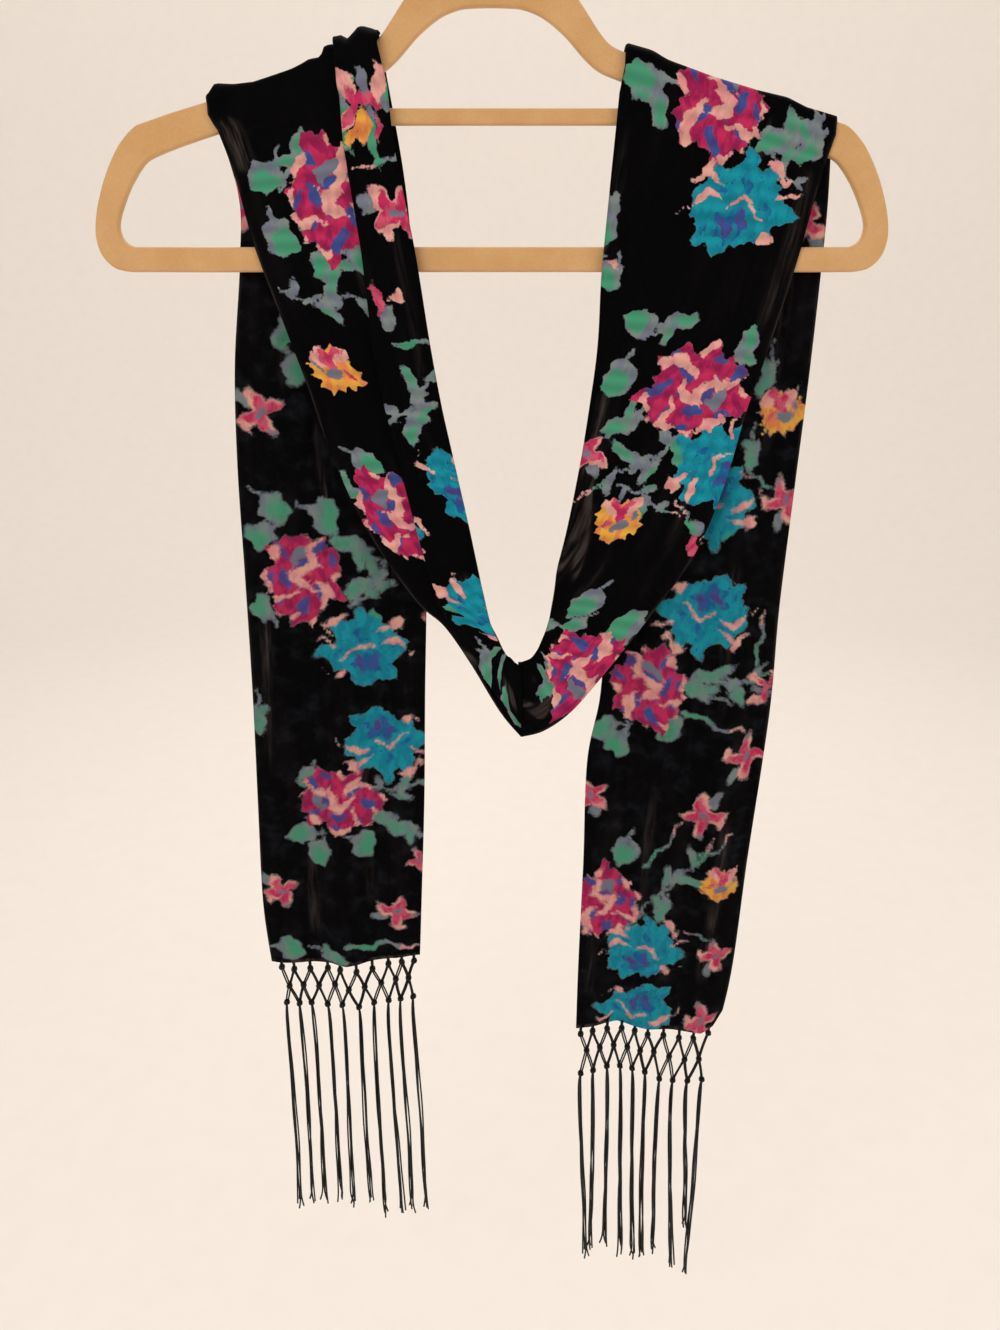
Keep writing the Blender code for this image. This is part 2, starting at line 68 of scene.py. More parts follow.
# Rows of points round an arm, down a strand in front and down a tail
ARM_ROWS, FRONT_ROWS, TAIL_ROWS = 26, 270, 350
# The strip's way round an arm: the angle it faces, y, and its height over the arm's top line
AROUND_ARM = [(0, -4.3, -7.0), (0, -4.2, -2.6), (25, -3.9, -0.4), (58, -2.6, 1.3), (90, 0.0, 2.0),
              (122, 2.6, 1.3), (155, 3.9, -0.4), (180, 4.2, -2.6)]
# Two points of the arm's top line, x and z, and how much steeper it is inside the first
ARM_HIGH = (71.9, -107.8)
ARM_LOW = (194.4, -142.4)
NECK_SLOPE = 0.55
# Waves across a tail, the height over which they drift by one radian, and how far from its inner edge they
# reach their full depth
TAIL_WAVES = 2.5
WAVE_DRIFT = 160.0
WAVE_FULL = 18.0
# Rows between a strand's stretch over the arm and its stretch in front
BRIDGE_ROWS = 9
# How far each of the left strand's two last rows goes on, under the right strand at the V
END_SLIP = (0.9, 0.35, 0.0)
# Widths of the painted highlight lines at a hem and along the outer edge
HEM_HIGHLIGHT = 3.0
EDGE_GLINT = 1.4
# How far the print's fields reach from the rims of their shapes, and the half width of a petal's ends
FIELD_REACH = 6.0
PETAL_TIP = 0.3
# Ribs of the flat print, in radians of their wave a metre (one rib every 9 mm), and what the wave texture
# multiplies its scale by
RIB_WAVE, TEXTURE_FACTOR = 700.0, 20.0
# Height of a ridge from which a painted highlight is laid on its pile
HIGHLIGHT_FROM = 0.45
# Where the strip's inner and outer edges cross each arm
LEFT_ARM = (-60.5, -154.5)
RIGHT_ARM = (72.0, 188.5)

# Stretches of the strip, a row for each station, in millimetres and degrees
LEFT_FRONT = [
    # inner_x, inner_z, outer_x, outer_z,    y, front, under
    (-56.0, -124.0, -149.5, -146.0, -4.3, 24, 17),
    (-52.5, -158.0, -142.5, -168.0, -4.3, 26, 19),
    (-43.4, -206.0, -134.0, -206.0, -4.5, 29, 21),
    (-36.0, -256.0, -118.0, -254.0, -5.0, 32, 24),
    (-30.0, -291.0, -107.5, -286.0, -5.2, 33, 27),
    (-24.5, -317.0, -98.0, -318.0, -5.4, 32, 30),
    (-15.0, -361.0, -78.0, -366.0, -5.8, 31, 25),
    (-6.2, -404.0, -49.5, -411.0, -6.0, 28, 24),
    (-0.5, -428.0, -31.0, -429.0, -6.0, 24, 22),
    (6.5, -443.0, -14.0, -455.0, -6.0, 20, 18),
    (12.0, -450.0, 4.0, -487.0, -6.2, 28, 26),
    (16.0, -453.0, 18.5, -505.5, -6.5, 40, 36),
]
RIGHT_FRONT = [
    # inner_x, inner_z, outer_x, outer_z,    y, roll
    (16.4, -453.0, 18.9, -505.5, -6.5, 40),
    (20.0, -452.5, 34.0, -501.0, -6.5, 41),
    (26.0, -449.0, 52.0, -487.0, -6.4, 38),
    (31.0, -438.0, 74.0, -459.0, -6.3, 40),
    (38.0, -412.0, 99.0, -424.0, -6.0, 46),
    (45.0, -376.0, 125.0, -384.0, -5.8, 40),
    (53.0, -330.0, 141.0, -341.0, -5.4, 34),
    (58.5, -285.0, 151.0, -297.0, -5.0, 28),
    (62.0, -247.0, 162.0, -258.0, -4.7, 22),
    (64.5, -206.0, 173.5, -212.0, -4.5, 16),
    (67.0, -166.0, 180.5, -178.0, -4.3, 12),
    (69.5, -128.0, 185.5, -158.0, -4.3, 10),
]
LEFT_TAIL = [
    # inner_x, inner_z, outer_x, outer_z,   y, fold, bend, wave
    (-55.0, -124.0, -148.0, -150.0, 4.4, 17, 180, 0.0),
    (-50.0, -165.0, -143.5, -176.0, 4.5, 15, 180, 0.0),
    (-46.0, -212.0, -145.5, -212.0, 4.6, 12, 180, 0.0),
    (-43.0, -270.0, -154.0, -270.0, 5.0, 4, 180, 1.2),
    (-42.0, -330.0, -158.0, -330.0, 5.6, 0, 110, 2.0),
    (-42.5, -400.0, -159.5, -400.0, 6.2, 0, 60, 2.8),
    (-45.5, -480.0, -161.2, -480.0, 6.8, 0, 35, 3.2),
    (-48.0, -560.0, -163.8, -560.0, 7.0, 0, 25, 3.0),
    (-52.0, -640.0, -166.2, -640.0, 7.0, 0, 20, 2.4),
    (-54.4, -688.0, -163.8, -692.0, 7.0, 0, 15, 1.6),
]
RIGHT_TAIL = [
    # inner_x, inner_z, outer_x, outer_z,   y, fold, bend, wave
    (71.0, -128.0, 187.5, -160.0, 4.4, 10, 180, 0.0),
    (69.5, -168.0, 190.5, -182.0, 4.5, 9, 180, 0.0),
    (68.5, -216.0, 190.5, -219.0, 4.6, 7, 180, 0.0),
    (69.0, -280.0, 189.5, -280.0, 5.0, 3, 180, 1.4),
    (71.0, -345.0, 187.8, -345.0, 5.6, 0, 120, 2.4),
    (73.0, -420.0, 186.2, -420.0, 6.2, 0, 60, 3.2),
    (72.0, -480.0, 187.2, -480.0, 6.8, 0, 40, 3.6),
    (64.5, -530.0, 185.5, -530.0, 7.0, 0, 30, 3.4),
    (64.0, -610.0, 181.0, -610.0, 7.0, 0, 25, 3.0),
    (62.8, -690.0, 177.5, -690.0, 7.0, 0, 20, 2.2),
    (62.4, -748.0, 172.5, -744.0, 7.0, 0, 15, 1.6),
]
# How far the strip stands off the top of each arm, as (place across, lift)
LEFT_LUMPS = [
    (0, -7.4), (3, -4.4), (7, -1.8), (9.5, -1.0), (12.5, -2.4), (17, -4.6), (20, -1.6), (23, -1.2),
    (25.5, 0.6), (30, 1.6), (34, -3.2), (40, -1.6), (50, -3.6), (62, -2.4), (73, -1.6), (84, 1.0),
    (93, 4.6), (99, 1.0),
]
RIGHT_LUMPS = [(0, 0.0), (25, 0.8), (50, 0.0), (75, 0.4), (92, 1.6), (104, 0.0), (122, 0.4)]

# Fringes: the knots of the net in three rows, as (drop below the hem, places across, own small drops), and
# the heights at which the strands end under each knot of the last row
LEFT_NET = [
    (5.2, [-157, -148, -136, -123, -114, -102, -90, -78, -68, -59], [0, 1, 0, 0, 0, 1, 1, 0, 0, 0]),
    (19.5, [-152.5, -142, -130.5, -118.5, -108.5, -96.5, -84, -73, -63.5], [2, 0, 1, 0, 2, 1, 1, 0, 0]),
    (36.5, [-155.5, -146, -137, -125, -114, -101.5, -90, -79, -70, -60.5], [0, 0, -1, 1, 0, 1, 0, 1, 1, 0]),
]
LEFT_ENDS = [-930, -927, -925, -924, -931, -926, -940, -937, -935, -934]
RIGHT_NET = [
    (5.2, [66, 75, 86, 97, 107, 117, 129, 141, 152, 163], [1, 0, 0, 0, 0, 1, 0, 1, 1, 0]),
    (21.5, [71, 81, 91.5, 102, 112, 122.5, 134.5, 146.5, 157.5], [1, 0, 0, 0, 1, 0, 3, 5, 4]),
    (40.5, [67, 76.5, 87, 97, 106.5, 116.5, 128, 138.5, 150, 161], [3, 2, 0, 0, 0, 1, 6, 6, 6, 7]),
]
RIGHT_ENDS = [-985, -978, -972, -984, -988, -986, -980, -997, -955, -1006]
# How far each hem stands off the straight line between its corners, as (share from the inner to the outer
# corner, mm)
LEFT_SAG = [(0.0, 2.0), (0.2, 0.5), (0.42, -5.5), (0.5, -6.0), (0.6, -2.0), (0.8, -2.0), (1.0, 1.0)]
RIGHT_SAG = [(0.0, -4.0), (0.28, 1.0), (0.5, -6.0), (0.7, -9.5), (0.86, -11.0), (0.94, -5.0), (1.0, 8.0)]
# How far above a hem its own line is felt
SAG_REACH = 45.0
KNOT_RADIUS = 2.15
KNOT_HEIGHT = 3.2
KNOT_TURNS = 2.5
KNOT_CORE = 0.72
COIL_STEPS = 32
HEM_LAP = 1.5
# Half the width of a pair of cords at the hem and in the net, and how far crossing pairs stand apart
ROOT_PAIR, CORD_PAIR, CROSS_OUT = 0.55, 0.6, 0.35
CORD_RADIUS = 0.62
STRAND_RADIUS = 0.68
STRAND_PITCH = 1.25
STRANDS_A_KNOT = 4
CORD_SIDES = 8
STRAND_SIDES = 6
# By how much the strands of a knot end one above the other, and where along a strand its tip turns aside
TIP_STEP = 1.9
FLICK_START = 0.93
LEFT_LEANS = [-4, -2, 0, 1, 0, 2, 1, 3, 2, 4]
RIGHT_LEANS = [8, 3, 5, 9, 10, 7, 4, 9, 6, -2]
STRAND_RINGS = 44

# Hanger and hook
PLATE = 6.0
NECK_TOP = -46.0
WIRE = 3.0
HOOK_RADIUS = 20.0
HOOK_STEPS = 90
# Where the hook's arc starts and how far it turns, in degrees, and the radius of its ball in wire widths
HOOK_START, HOOK_TURN = -62, 267
TIP_BALL = 0.62
# Spacing of the points on a rounded outline, and the length from which a stretch is only halved
OUTLINE_STEP = 2.0
STRAIGHT_FROM = 45.0
# Right half of the hanger's outline, x and z, from the neck down to the underside of the lower bar
OUTLINE = [
    (5.5, NECK_TOP), (8.0, -58.0), (13.0, -66.5), (26.0, -70.0), (38.0, -76.0), (46.0, -83.3), (57.4, -98.0),
    (63.7, -104.3), ARM_HIGH, (110.0, -118.6), (150.0, -129.9), ARM_LOW, (205.1, -151.5), (214.7, -166.5),
    (221.9, -184.0), (224.7, -198.1), (222.6, -208.6), (216.0, -215.6), (206.0, -217.7), (120.0, -217.7),
]
# Right half of the gap under the arch, from its top to the upper bar
ARCH_GAP = [(14.0, -87.2), (26.0, -90.8), (38.6, -99.4), (49.9, -110.5), (58.1, -116.7), (70.8, -121.4),
            (104.0, -131.6), (106.5, -133.6), (103.0, -134.4), (60.0, -134.4)]
# Right half of the gap between the bars
BAR_GAP = [(60.0, -142.6), (128.0, -142.6), (150.0, -146.6), (190.0, -159.8), (200.5, -171.3),
           (208.6, -186.1), (211.0, -194.4), (209.0, -201.2), (203.0, -204.4), (110.0, -204.4)]

# Studio: each light's name, place, size and power
LIGHTS = [
    ("key", (-0.9, -1.7, 0.6), 1.6, 19.0),
    ("fill", (1.5, -1.2, -0.2), 1.4, 8.0),
    ("rim", (0.3, 1.1, 1.5), 1.2, 12.0),
    ("wall", (0.0, 1.0, 2.2), 2.4, 46.0),
]
# Warm tints of the lights and of the light from all round
LIGHT_TINT = (1.0, 0.96, 0.90)
AIR_TINT = (1.0, 0.965, 0.92, 1.0)
COVE_RADIUS = 1.6
COVE_STEPS = 16
SCARF_AIM = (0.0, 0.0, -0.45)
WALL_AIM = (0.0, 3.2, 0.2)
CAMERA_PLACE = (0.0046, -0.617, -0.240)

# Creases laid over each stretch: where each starts and ends as (u, v) in millimetres across and
# along it, how far it bows, its depth towards the hanger (a ridge is negative) and its half width
CREASES = {
    "front_left": [
        ((128, 20), (126, 66), 2, -1.6, 7), ((112, 24), (96, 120), -3, 0.9, 6),
        ((70, 30), (84, 150), 4, -0.9, 7), ((60, 90), (98, 250), 5, -1.2, 6),
        ((74, 130), (108, 300), 3, 0.9, 6), ((88, 210), (114, 340), -2, -1.0, 5),
        ((4, 60), (8, 230), 3, -0.8, 5), ((14, 120), (20, 300), -3, 0.7, 5),
        ((30, 290), (66, 392), -4, -1.2, 6), ((50, 300), (92, 396), 3, 1.1, 6),
        ((80, 330), (126, 400), 4, -1.4, 6), ((104, 340), (132, 396), -2, 0.9, 5),
        ((20, 18), (22, 62), 1, -1.2, 4), ((34, 16), (30, 58), -1, 1.0, 4), ((46, 14), (48, 70), 2, -1.1, 5),
        ((66, 380), (34, 400), 0, -1.7, 3), ((72, 386), (44, 404), 0, 1.2, 3),
        ((100, 300), (84, 380), 2, -1.0, 5),
    ],
    "front_right": [
        ((20, 16), (26, 210), -3, -1.1, 5), ((33, 20), (40, 240), 3, 0.9, 6),
        ((46, 150), (66, 330), 4, -1.5, 5), ((60, 190), (78, 352), -3, 1.1, 5),
        ((70, 200), (92, 350), 2, -0.9, 5), ((124, 26), (122, 150), -3, -1.0, 6),
        ((112, 60), (108, 180), 4, 0.8, 7), ((104, 190), (118, 320), -3, -0.8, 7),
        ((84, 330), (128, 392), 6, -1.5, 6), ((66, 320), (112, 394), -3, 1.2, 6),
        ((46, 310), (80, 388), 3, -1.2, 5), ((60, 14), (70, 60), 2, 0.7, 8),
        ((96, 15), (92, 52), -2, -0.9, 6), ((46, 214), (78, 310), 2, -1.8, 3),
        ((57, 224), (84, 322), 3, -1.4, 4), ((52, 214), (80, 316), 2, 1.0, 3),
        ((104, 396), (124, 382), 0, -1.8, 3), ((110, 400), (130, 388), 0, 1.2, 3),
        ((92, 384), (112, 372), 1, -1.0, 4),
    ],
    "tail_left": [
        ((84, 176), (74, 250), -4, -1.4, 4), ((96, 150), (86, 270), 3, 0.9, 6),
        ((122, 290), (124, 440), 2, -1.3, 6), ((112, 330), (114, 470), -3, 0.8, 7),
        ((60, 380), (56, 560), 3, -0.9, 8), ((92, 450), (96, 572), -3, -1.0, 8),
        ((40, 400), (44, 572), -2, 0.8, 8), ((76, 500), (78, 574), 2, 0.9, 7),
        ((108, 40), (104, 190), 3, -0.9, 7), ((70, 60), (76, 170), -3, 0.8, 7),
        ((30, 40), (36, 200), 3, -0.8, 7),
    ],
    "tail_right": [
        ((104, 240), (98, 400), 3, -1.0, 7), ((88, 300), (84, 470), -3, 0.9, 7),
        ((60, 400), (64, 600), 4, -1.0, 8), ((44, 420), (46, 612), -3, 0.8, 8),
        ((112, 420), (108, 610), -3, -1.1, 7), ((90, 500), (92, 616), 3, 0.9, 7),
        ((28, 480), (30, 616), 2, -0.9, 7), ((118, 60), (114, 220), 3, -0.9, 6),
        ((74, 60), (78, 220), -3, 0.8, 8), ((40, 60), (44, 200), 2, -0.8, 7),
    ],
}

# Print: motifs on each stretch as (kind, u, v, turn in degrees, size), own drawings in the photo's order and
# spacing
MOTIFS = {
    "front_left": [
        ("long", 94, 54, -60, 0.95), ("round", 116, 64, 150, 1.1), ("pink", 81, 79, 100, 1.08),
        ("round", 117, 99, 100, 1.15), ("long", 96, 112, 140, 0.95), ("round", 74, 110, 100, 0.9),
        ("twig", 101, 132, 165, 1.0), ("yellow", 113, 172, 0, 1.1), ("round", 114, 228, 60, 0.95),
        ("long", 130, 245, 40, 0.7), ("pink", 108, 262, 80, 1.0), ("orange", 10, 40, 10, 1.05),
        ("long", 24, 36, 90, 0.9), ("round", -6, 36, 20, 0.9), ("stem", -2, 62, -35, 0.95),
        ("small", 1, 87, 150, 1.1), ("bud", 18, 133, 170, 1.15), ("stem", 2, 156, 150, 0.9),
        ("twig", 8, 186, 115, 0.95), ("long", 12, 206, 100, 0.8), ("teal", -2, 250, 95, 0.95),
        ("teal", 40, 330, 270, 0.98), ("long", 79, 368, 100, 0.8), ("long", 64, 376, 90, 0.5),
        ("small", 34, 20, 60, 0.9), ("round", 60, 391, 20, 0.8), ("long", 124, 398, 90, 0.6),
        ("twig", 50, 60, 80, 0.8), ("teal", 64, 262, 60, 0.9), ("long", 46, 160, 20, 0.9),
        ("round", 50, 210, 20, 1.0),
    ],
    "front_right": [
        ("round", 24, 22, 30, 1.1), ("long", 34, 30, 130, 0.8), ("pink", 68, 20, 95, 1.0),
        ("long", 104, 31, 30, 1.1), ("long", 122, 30, 80, 1.0), ("twig", 110, 46, 120, 0.7),
        ("teal", 91, 71, 10, 1.02), ("round", 30, 112, 100, 0.9), ("round", 55, 137, 10, 1.0),
        ("long", 77, 134, 200, 0.8), ("pink", 99, 171, 5, 1.05), ("long", 120, 142, 260, 0.8),
        ("round", 53, 170, 100, 1.15), ("long", 62, 196, 30, 0.9), ("twig", 78, 216, 200, 1.05),
        ("round", 102, 206, 60, 0.9), ("twig", 88, 238, 320, 0.7), ("yellow", 77, 251, 0, 1.1),
        ("teal", 125, 214, 75, 1.0), ("bud", 131, 262, 30, 1.1), ("stem", 118, 247, 110, 0.7),
        ("round", 90, 310, 100, 1.15), ("round", 94, 326, 80, 0.75), ("round", 124, 322, 40, 1.4),
        ("pink", 118, 352, 315, 0.95), ("long", 107, 374, 120, 0.85), ("round", 78, 332, 30, 0.75),
        ("small", 45, 214, 80, 0.9), ("bud", 24, 106, 30, 0.8), ("long", 12, 150, 90, 0.8),
        ("stem", 40, 232, 60, 0.8), ("teal", 6, 190, 100, 0.9), ("long", 20, 84, 90, 1.1),
        ("pink", 6, 290, 40, 0.9), ("round", 62, 372, 30, 0.8),
    ],
    "tail_left": [
        ("small", 117, 181, 170, 1.05), ("small", 131, 60, 20, 1.05), ("round", 103, 134, 100, 1.0),
        ("round", 96, 156, 80, 1.0), ("long", 66, 150, 120, 0.9), ("round", 111, 238, 60, 1.1),
        ("round", 80, 244, 50, 1.2), ("round", 121, 256, 170, 1.05), ("pink", 95, 284, 95, 1.0),
        ("long", 64, 262, 200, 0.95), ("twig", 48, 284, 110, 0.95), ("round", 122, 304, 250, 0.95),
        ("long", 60, 290, 160, 0.85), ("teal", 56, 333, 5, 1.0), ("teal", 46, 399, 185, 1.0),
        ("long", 130, 383, 80, 0.8), ("round", 98, 427, 130, 0.9), ("pink", 76, 444, 10, 0.98),
        ("twig", 32, 432, 150, 0.85), ("long", 47, 457, 185, 0.9), ("long", 33, 464, 190, 0.9),
        ("round", 103, 470, 200, 1.0), ("round", 91, 485, 120, 1.05), ("round", 60, 478, 60, 1.1),
        ("small", 119, 515, 175, 0.95), ("small", 36, 533, 120, 0.98), ("small", 20, 490, 0, 0.7),
        ("round", 118, 562, 30, 1.05), ("long", 86, 569, 10, 0.7), ("stem", 52, 562, 160, 1.3),
        ("pink", 60, 60, 40, 1.0), ("teal", 78, 104, 120, 0.9), ("twig", 40, 110, 40, 1.0),
        ("yellow", 34, 188, 90, 1.0), ("orange", 12, 150, 30, 1.0), ("pink", 8, 250, 60, 0.9),
        ("round", -4, 360, 60, 0.9), ("small", 6, 310, 20, 1.0), ("round", -4, 520, 30, 0.9),
    ],
    "tail_right": [
        ("yellow", 119, 168, 10, 1.1), ("long", 108, 150, 70, 0.8), ("long", 104, 196, 80, 0.7),
        ("stem", 112, 212, 130, 0.7), ("small", 128, 223, 40, 0.95), ("teal", 84, 226, 200, 0.95),
        ("teal", 86, 297, 185, 1.05), ("pink", 50, 349, 100, 1.0), ("twig", 103, 345, 350, 1.0),
        ("long", 86, 342, 200, 0.8), ("long", 82, 352, 330, 0.85), ("stem", 92, 374, 320, 1.1),
        ("stem", 122, 316, 60, 0.9), ("orange", 131, 351, 90, 0.9), ("round", 22, 378, 30, 1.0),
        ("round", 32, 390, 90, 1.05), ("round", 66, 378, 100, 1.1), ("small", 120, 399, 20, 1.05),
        ("small", 96, 446, 200, 1.1), ("small", 17, 428, 60, 0.9), ("stem", 70, 470, 30, 1.0),
        ("round", 45, 474, 100, 1.15), ("pink", 34, 516, 100, 0.98), ("twig", 84, 497, 35, 1.05),
        ("stem", 106, 474, 25, 0.9), ("yellow", 115, 498, 350, 1.05), ("long", 76, 520, 80, 0.8),
        ("long", 54, 528, 40, 0.7), ("teal", 63, 556, 5, 1.0), ("small", 118, 559, 30, 0.9),
        ("stem", 106, 544, 140, 0.6), ("teal", 68, 608, 185, 0.98), ("small", 116, 612, 30, 0.9),
        ("pink", 68, -21, 265, 1.0), ("pink", 60, 60, 30, 1.0), ("teal", 40, 130, 100, 1.0),
        ("twig", 90, 110, 60, 1.0), ("small", 120, 60, 80, 1.0), ("pink", 44, 180, 60, 1.0),
        ("round", 40, 220, 20, 1.1), ("yellow", 30, 280, 90, 1.0),
    ],
}


class ScarfSettings(bpy.types.PropertyGroup):
    """Sizes and finish of the cloth."""

    wall: FloatProperty(name="Cloth thickness", description="Thickness of the velvet with its pile",
                        default=0.9 * MM, unit="LENGTH")
    pile: FloatVectorProperty(name="Pile", description="Colour of the velvet's pile", subtype="COLOR",
                              default=(0.0006, 0.0005, 0.0009))
    # Partly the nap's own tone and partly painted sheen: a lighter pile colour laid in random streaks along
    # the nap where it would catch light
    nap_sheen: FloatVectorProperty(name="Rubbed pile", description="Colour where the nap catches light",
                                subtype="COLOR", default=(0.0045, 0.0036, 0.0038))
    # Painted highlight: a lighter pile colour laid on the crests of folds, along the outer edge and at the
    # hem, where light would catch the nap
    crest_highlight: FloatVectorProperty(name="Crest", description="Colour of the pile on the crest of a fold",
                               subtype="COLOR", default=(0.042, 0.033, 0.031))
    bloom: FloatVectorProperty(name="Bloom", description="Faint bloom on the reverse", subtype="COLOR",
                               default=(0.008, 0.009, 0.013))
    sheen: FloatProperty(name="Sheen", description="Strength of the pile's sheen", default=0.02, min=0.0,
                         max=1.0)


def read_table(table, place):
    """Values read between the rows of a short table of places and values."""
    return np.interp(place, [row[0] for row in table], [row[1] for row in table])


def spline_rows(rows, places):
    """Rows of a table read at places from 0 to 1 on a smooth curve through them."""
    data = np.array(rows, dtype=float)
    t = np.clip(places, 0.0, 1.0) * (len(rows) - 1)
    i = np.minimum(t.astype(int), len(rows) - 2)
    u = (t - i)[:, None]
    p, q, r, s = (data[np.clip(i + k, 0, len(rows) - 1)] for k in (-1, 0, 1, 2))
    return 0.5 * (2 * q + (r - p) * u + (2 * p - 5 * q + 4 * r - s) * u ** 2
                  + (3 * q - p - 3 * r + s) * u ** 3)


def walk(start_heading, steps, chord):
    """Middle lines of a fold at every station: w across, h away from the hanger and s along the cloth.

    Each step is (lengths, bends, pieces) with an array value for each station. A length of None runs on to
    the chord.
    """
    count = len(chord)
    w, h, s = [np.zeros(count)], [np.zeros(count)], [np.zeros(count)]
    heading = np.array(start_heading, dtype=float)
    for length, bend, pieces in steps:
        if length is None:
            length = chord - (w[-1] - np.min(w, axis=0))
        for _ in range(pieces):
            middle = heading + bend / pieces / 2
            w.append(w[-1] + length / pieces * np.cos(middle))
            h.append(h[-1] + length / pieces * np.sin(middle))
            s.append(s[-1] + length / pieces)
            heading = heading + bend / pieces
    w, h, s = (np.stack(values, axis=1) for values in (w, h, s))
    return w - w.min(axis=1, keepdims=True), h, s


def pleat_lines(chord, front, under, bend):
    """A knife pleat at every station: top layer, layer folded back beneath it, deepest layer."""
    arc = FOLD_RADIUS * bend
    steps = [(front, 0.0, TOP_PIECES), (arc, -bend, BEND_PIECES),
             (np.maximum(under, 0.0) + LEAST, 0.0, UNDER_PIECES), (arc, bend, BEND_PIECES),
             (None, 0.0, DEEP_PIECES)]
    w, h, s = walk(np.zeros_like(chord), steps, chord)
    return w, h - h[:, -1:], s


def rolled_lines(chord, roll, bend):
    """A margin rolled under at the inner edge at every station, and the strip that sinks beyond it."""
    roll = np.maximum(roll, 0.0)
    steps = [(roll + LEAST, 0.0, ROLL_PIECES), (FOLD_RADIUS * bend, -bend, ROLL_BEND_PIECES),
             (None, 0.0, BEYOND_PIECES)]
    w, h, s = walk(bend, steps, chord)
    start = (roll + 2.0)[:, None]
    room = np.minimum(ROLL_EASE, np.maximum(chord[:, None] - start - 2.0, 1.0))
    share = np.clip((w - start) / room, 0.0, 1.0)
    share[:, :ROLL_PIECES + ROLL_BEND_PIECES + 1] = 0.0
    return w, h - h[:, -1:] * share * share * (3 - 2 * share), s


def arm_top(x):
    """Height of the arm's top line at a distance from the middle."""
    slope = (ARM_LOW[1] - ARM_HIGH[1]) / (ARM_LOW[0] - ARM_HIGH[0])
    return ARM_HIGH[1] + slope * (abs(x) - ARM_HIGH[0]) + max(ARM_HIGH[0] - abs(x), 0.0) * NECK_SLOPE


def place_stretch(inner, outer, out, lines):
    """Points and cloth coordinates of a stretch from its two edges, its ways out and its fold lines."""
    w, h, s = lines
    across = outer - inner
    across /= np.linalg.norm(across, axis=1, keepdims=True)
    out = out - across * np.sum(out * across, axis=1, keepdims=True)
    out /= np.linalg.norm(out, axis=1, keepdims=True)
    points = inner[:, None] + across[:, None] * w[..., None] + out[:, None] * h[..., None]
    middle = (inner + outer) / 2
    v = np.concatenate([[0.0], np.cumsum(np.linalg.norm(np.diff(middle, axis=0), axis=1))])
    u = CLOTH_WIDTH - (s[:, -1:] - s)
    return points, u, np.broadcast_to(v[:, None], u.shape).copy()


def arm_stretch(arm, lumps, line_of):
    """Edges, ways out and fold lines of the stretch over an arm, from the back to the front."""
    rows = spline_rows(AROUND_ARM, np.linspace(0, 1, ARM_ROWS))
    angle = np.radians(np.clip(rows[:, 0], 0, 180))
    inner = np.stack([np.full(ARM_ROWS, arm[0]), rows[:, 1], arm_top(arm[0]) + rows[:, 2]], axis=1)
    outer = np.stack([np.full(ARM_ROWS, arm[1]), rows[:, 1], arm_top(arm[1]) + rows[:, 2]], axis=1)
    out = np.stack([np.zeros(ARM_ROWS), -np.cos(angle), np.sin(angle)], axis=1)
    w, h, s = line_of(np.linalg.norm(outer - inner, axis=1))
    lift = np.sin(angle)[:, None] ** 0.7
    h = h + lift * read_table(lumps, w)
    return inner[::-1], outer[::-1], out[::-1], (w[::-1], h[::-1], s[::-1])


def front_stretch(rows, line_of):
    """Edges, ways out and fold lines of a strand in front of the hanger."""
    rows = spline_rows(rows, np.linspace(0, 1, FRONT_ROWS))
    inner, outer = rows[:, [0, 4, 1]], rows[:, [2, 4, 3]]
    out = np.tile([0.0, -1.0, 0.0], (len(rows), 1))
    return inner, outer, out, line_of(np.linalg.norm(outer - inner, axis=1), rows)


def joined(first, second):
    """Two stretches as one, with straight rows across the gap between them."""
    share = np.arange(1, BRIDGE_ROWS + 1)[:, None] / (BRIDGE_ROWS + 1)

    def bridged(a, b):
        return np.concatenate([a, a[-1:] + (b[:1] - a[-1:]) * share, b])

    edges = [bridged(a, b) for a, b in zip(first[:3], second[:3])]
    return (*edges, tuple(bridged(a, b) for a, b in zip(first[3], second[3])))


def left_strand():
    """The left strand from behind the arm, over it and down in front to the V."""
    over = arm_stretch(LEFT_ARM, LEFT_LUMPS,
                       lambda c: pleat_lines(c, PLEAT_TOP, np.full_like(c, PLEAT_UNDER), np.full_like(c, pi)))
    down = front_stretch(LEFT_FRONT, lambda c, r: pleat_lines(c, r[:, 5], r[:, 6], np.full_like(c, pi)))
    points, u, v = place_stretch(*joined(over, down))
    ends = [points[-1] + np.array(END_SLIP) * k for k in (1, 2)]
    return (np.concatenate([points, ends]), np.concatenate([u, u[-1:], u[-1:]]),
            np.concatenate([v, v[-1:] + END_SLIP[0], v[-1:] + 2 * END_SLIP[0]]))


def right_strand():
    """The right strand from behind the arm, over it and down in front to the V."""
    over = arm_stretch(RIGHT_ARM, RIGHT_LUMPS,
                       lambda c: rolled_lines(c, np.full_like(c, ARM_ROLL), np.full_like(c, pi)))
    down = front_stretch(RIGHT_FRONT[::-1], lambda c, r: rolled_lines(c, r[:, 5], np.full_like(c, pi)))
    return place_stretch(*joined(over, down))


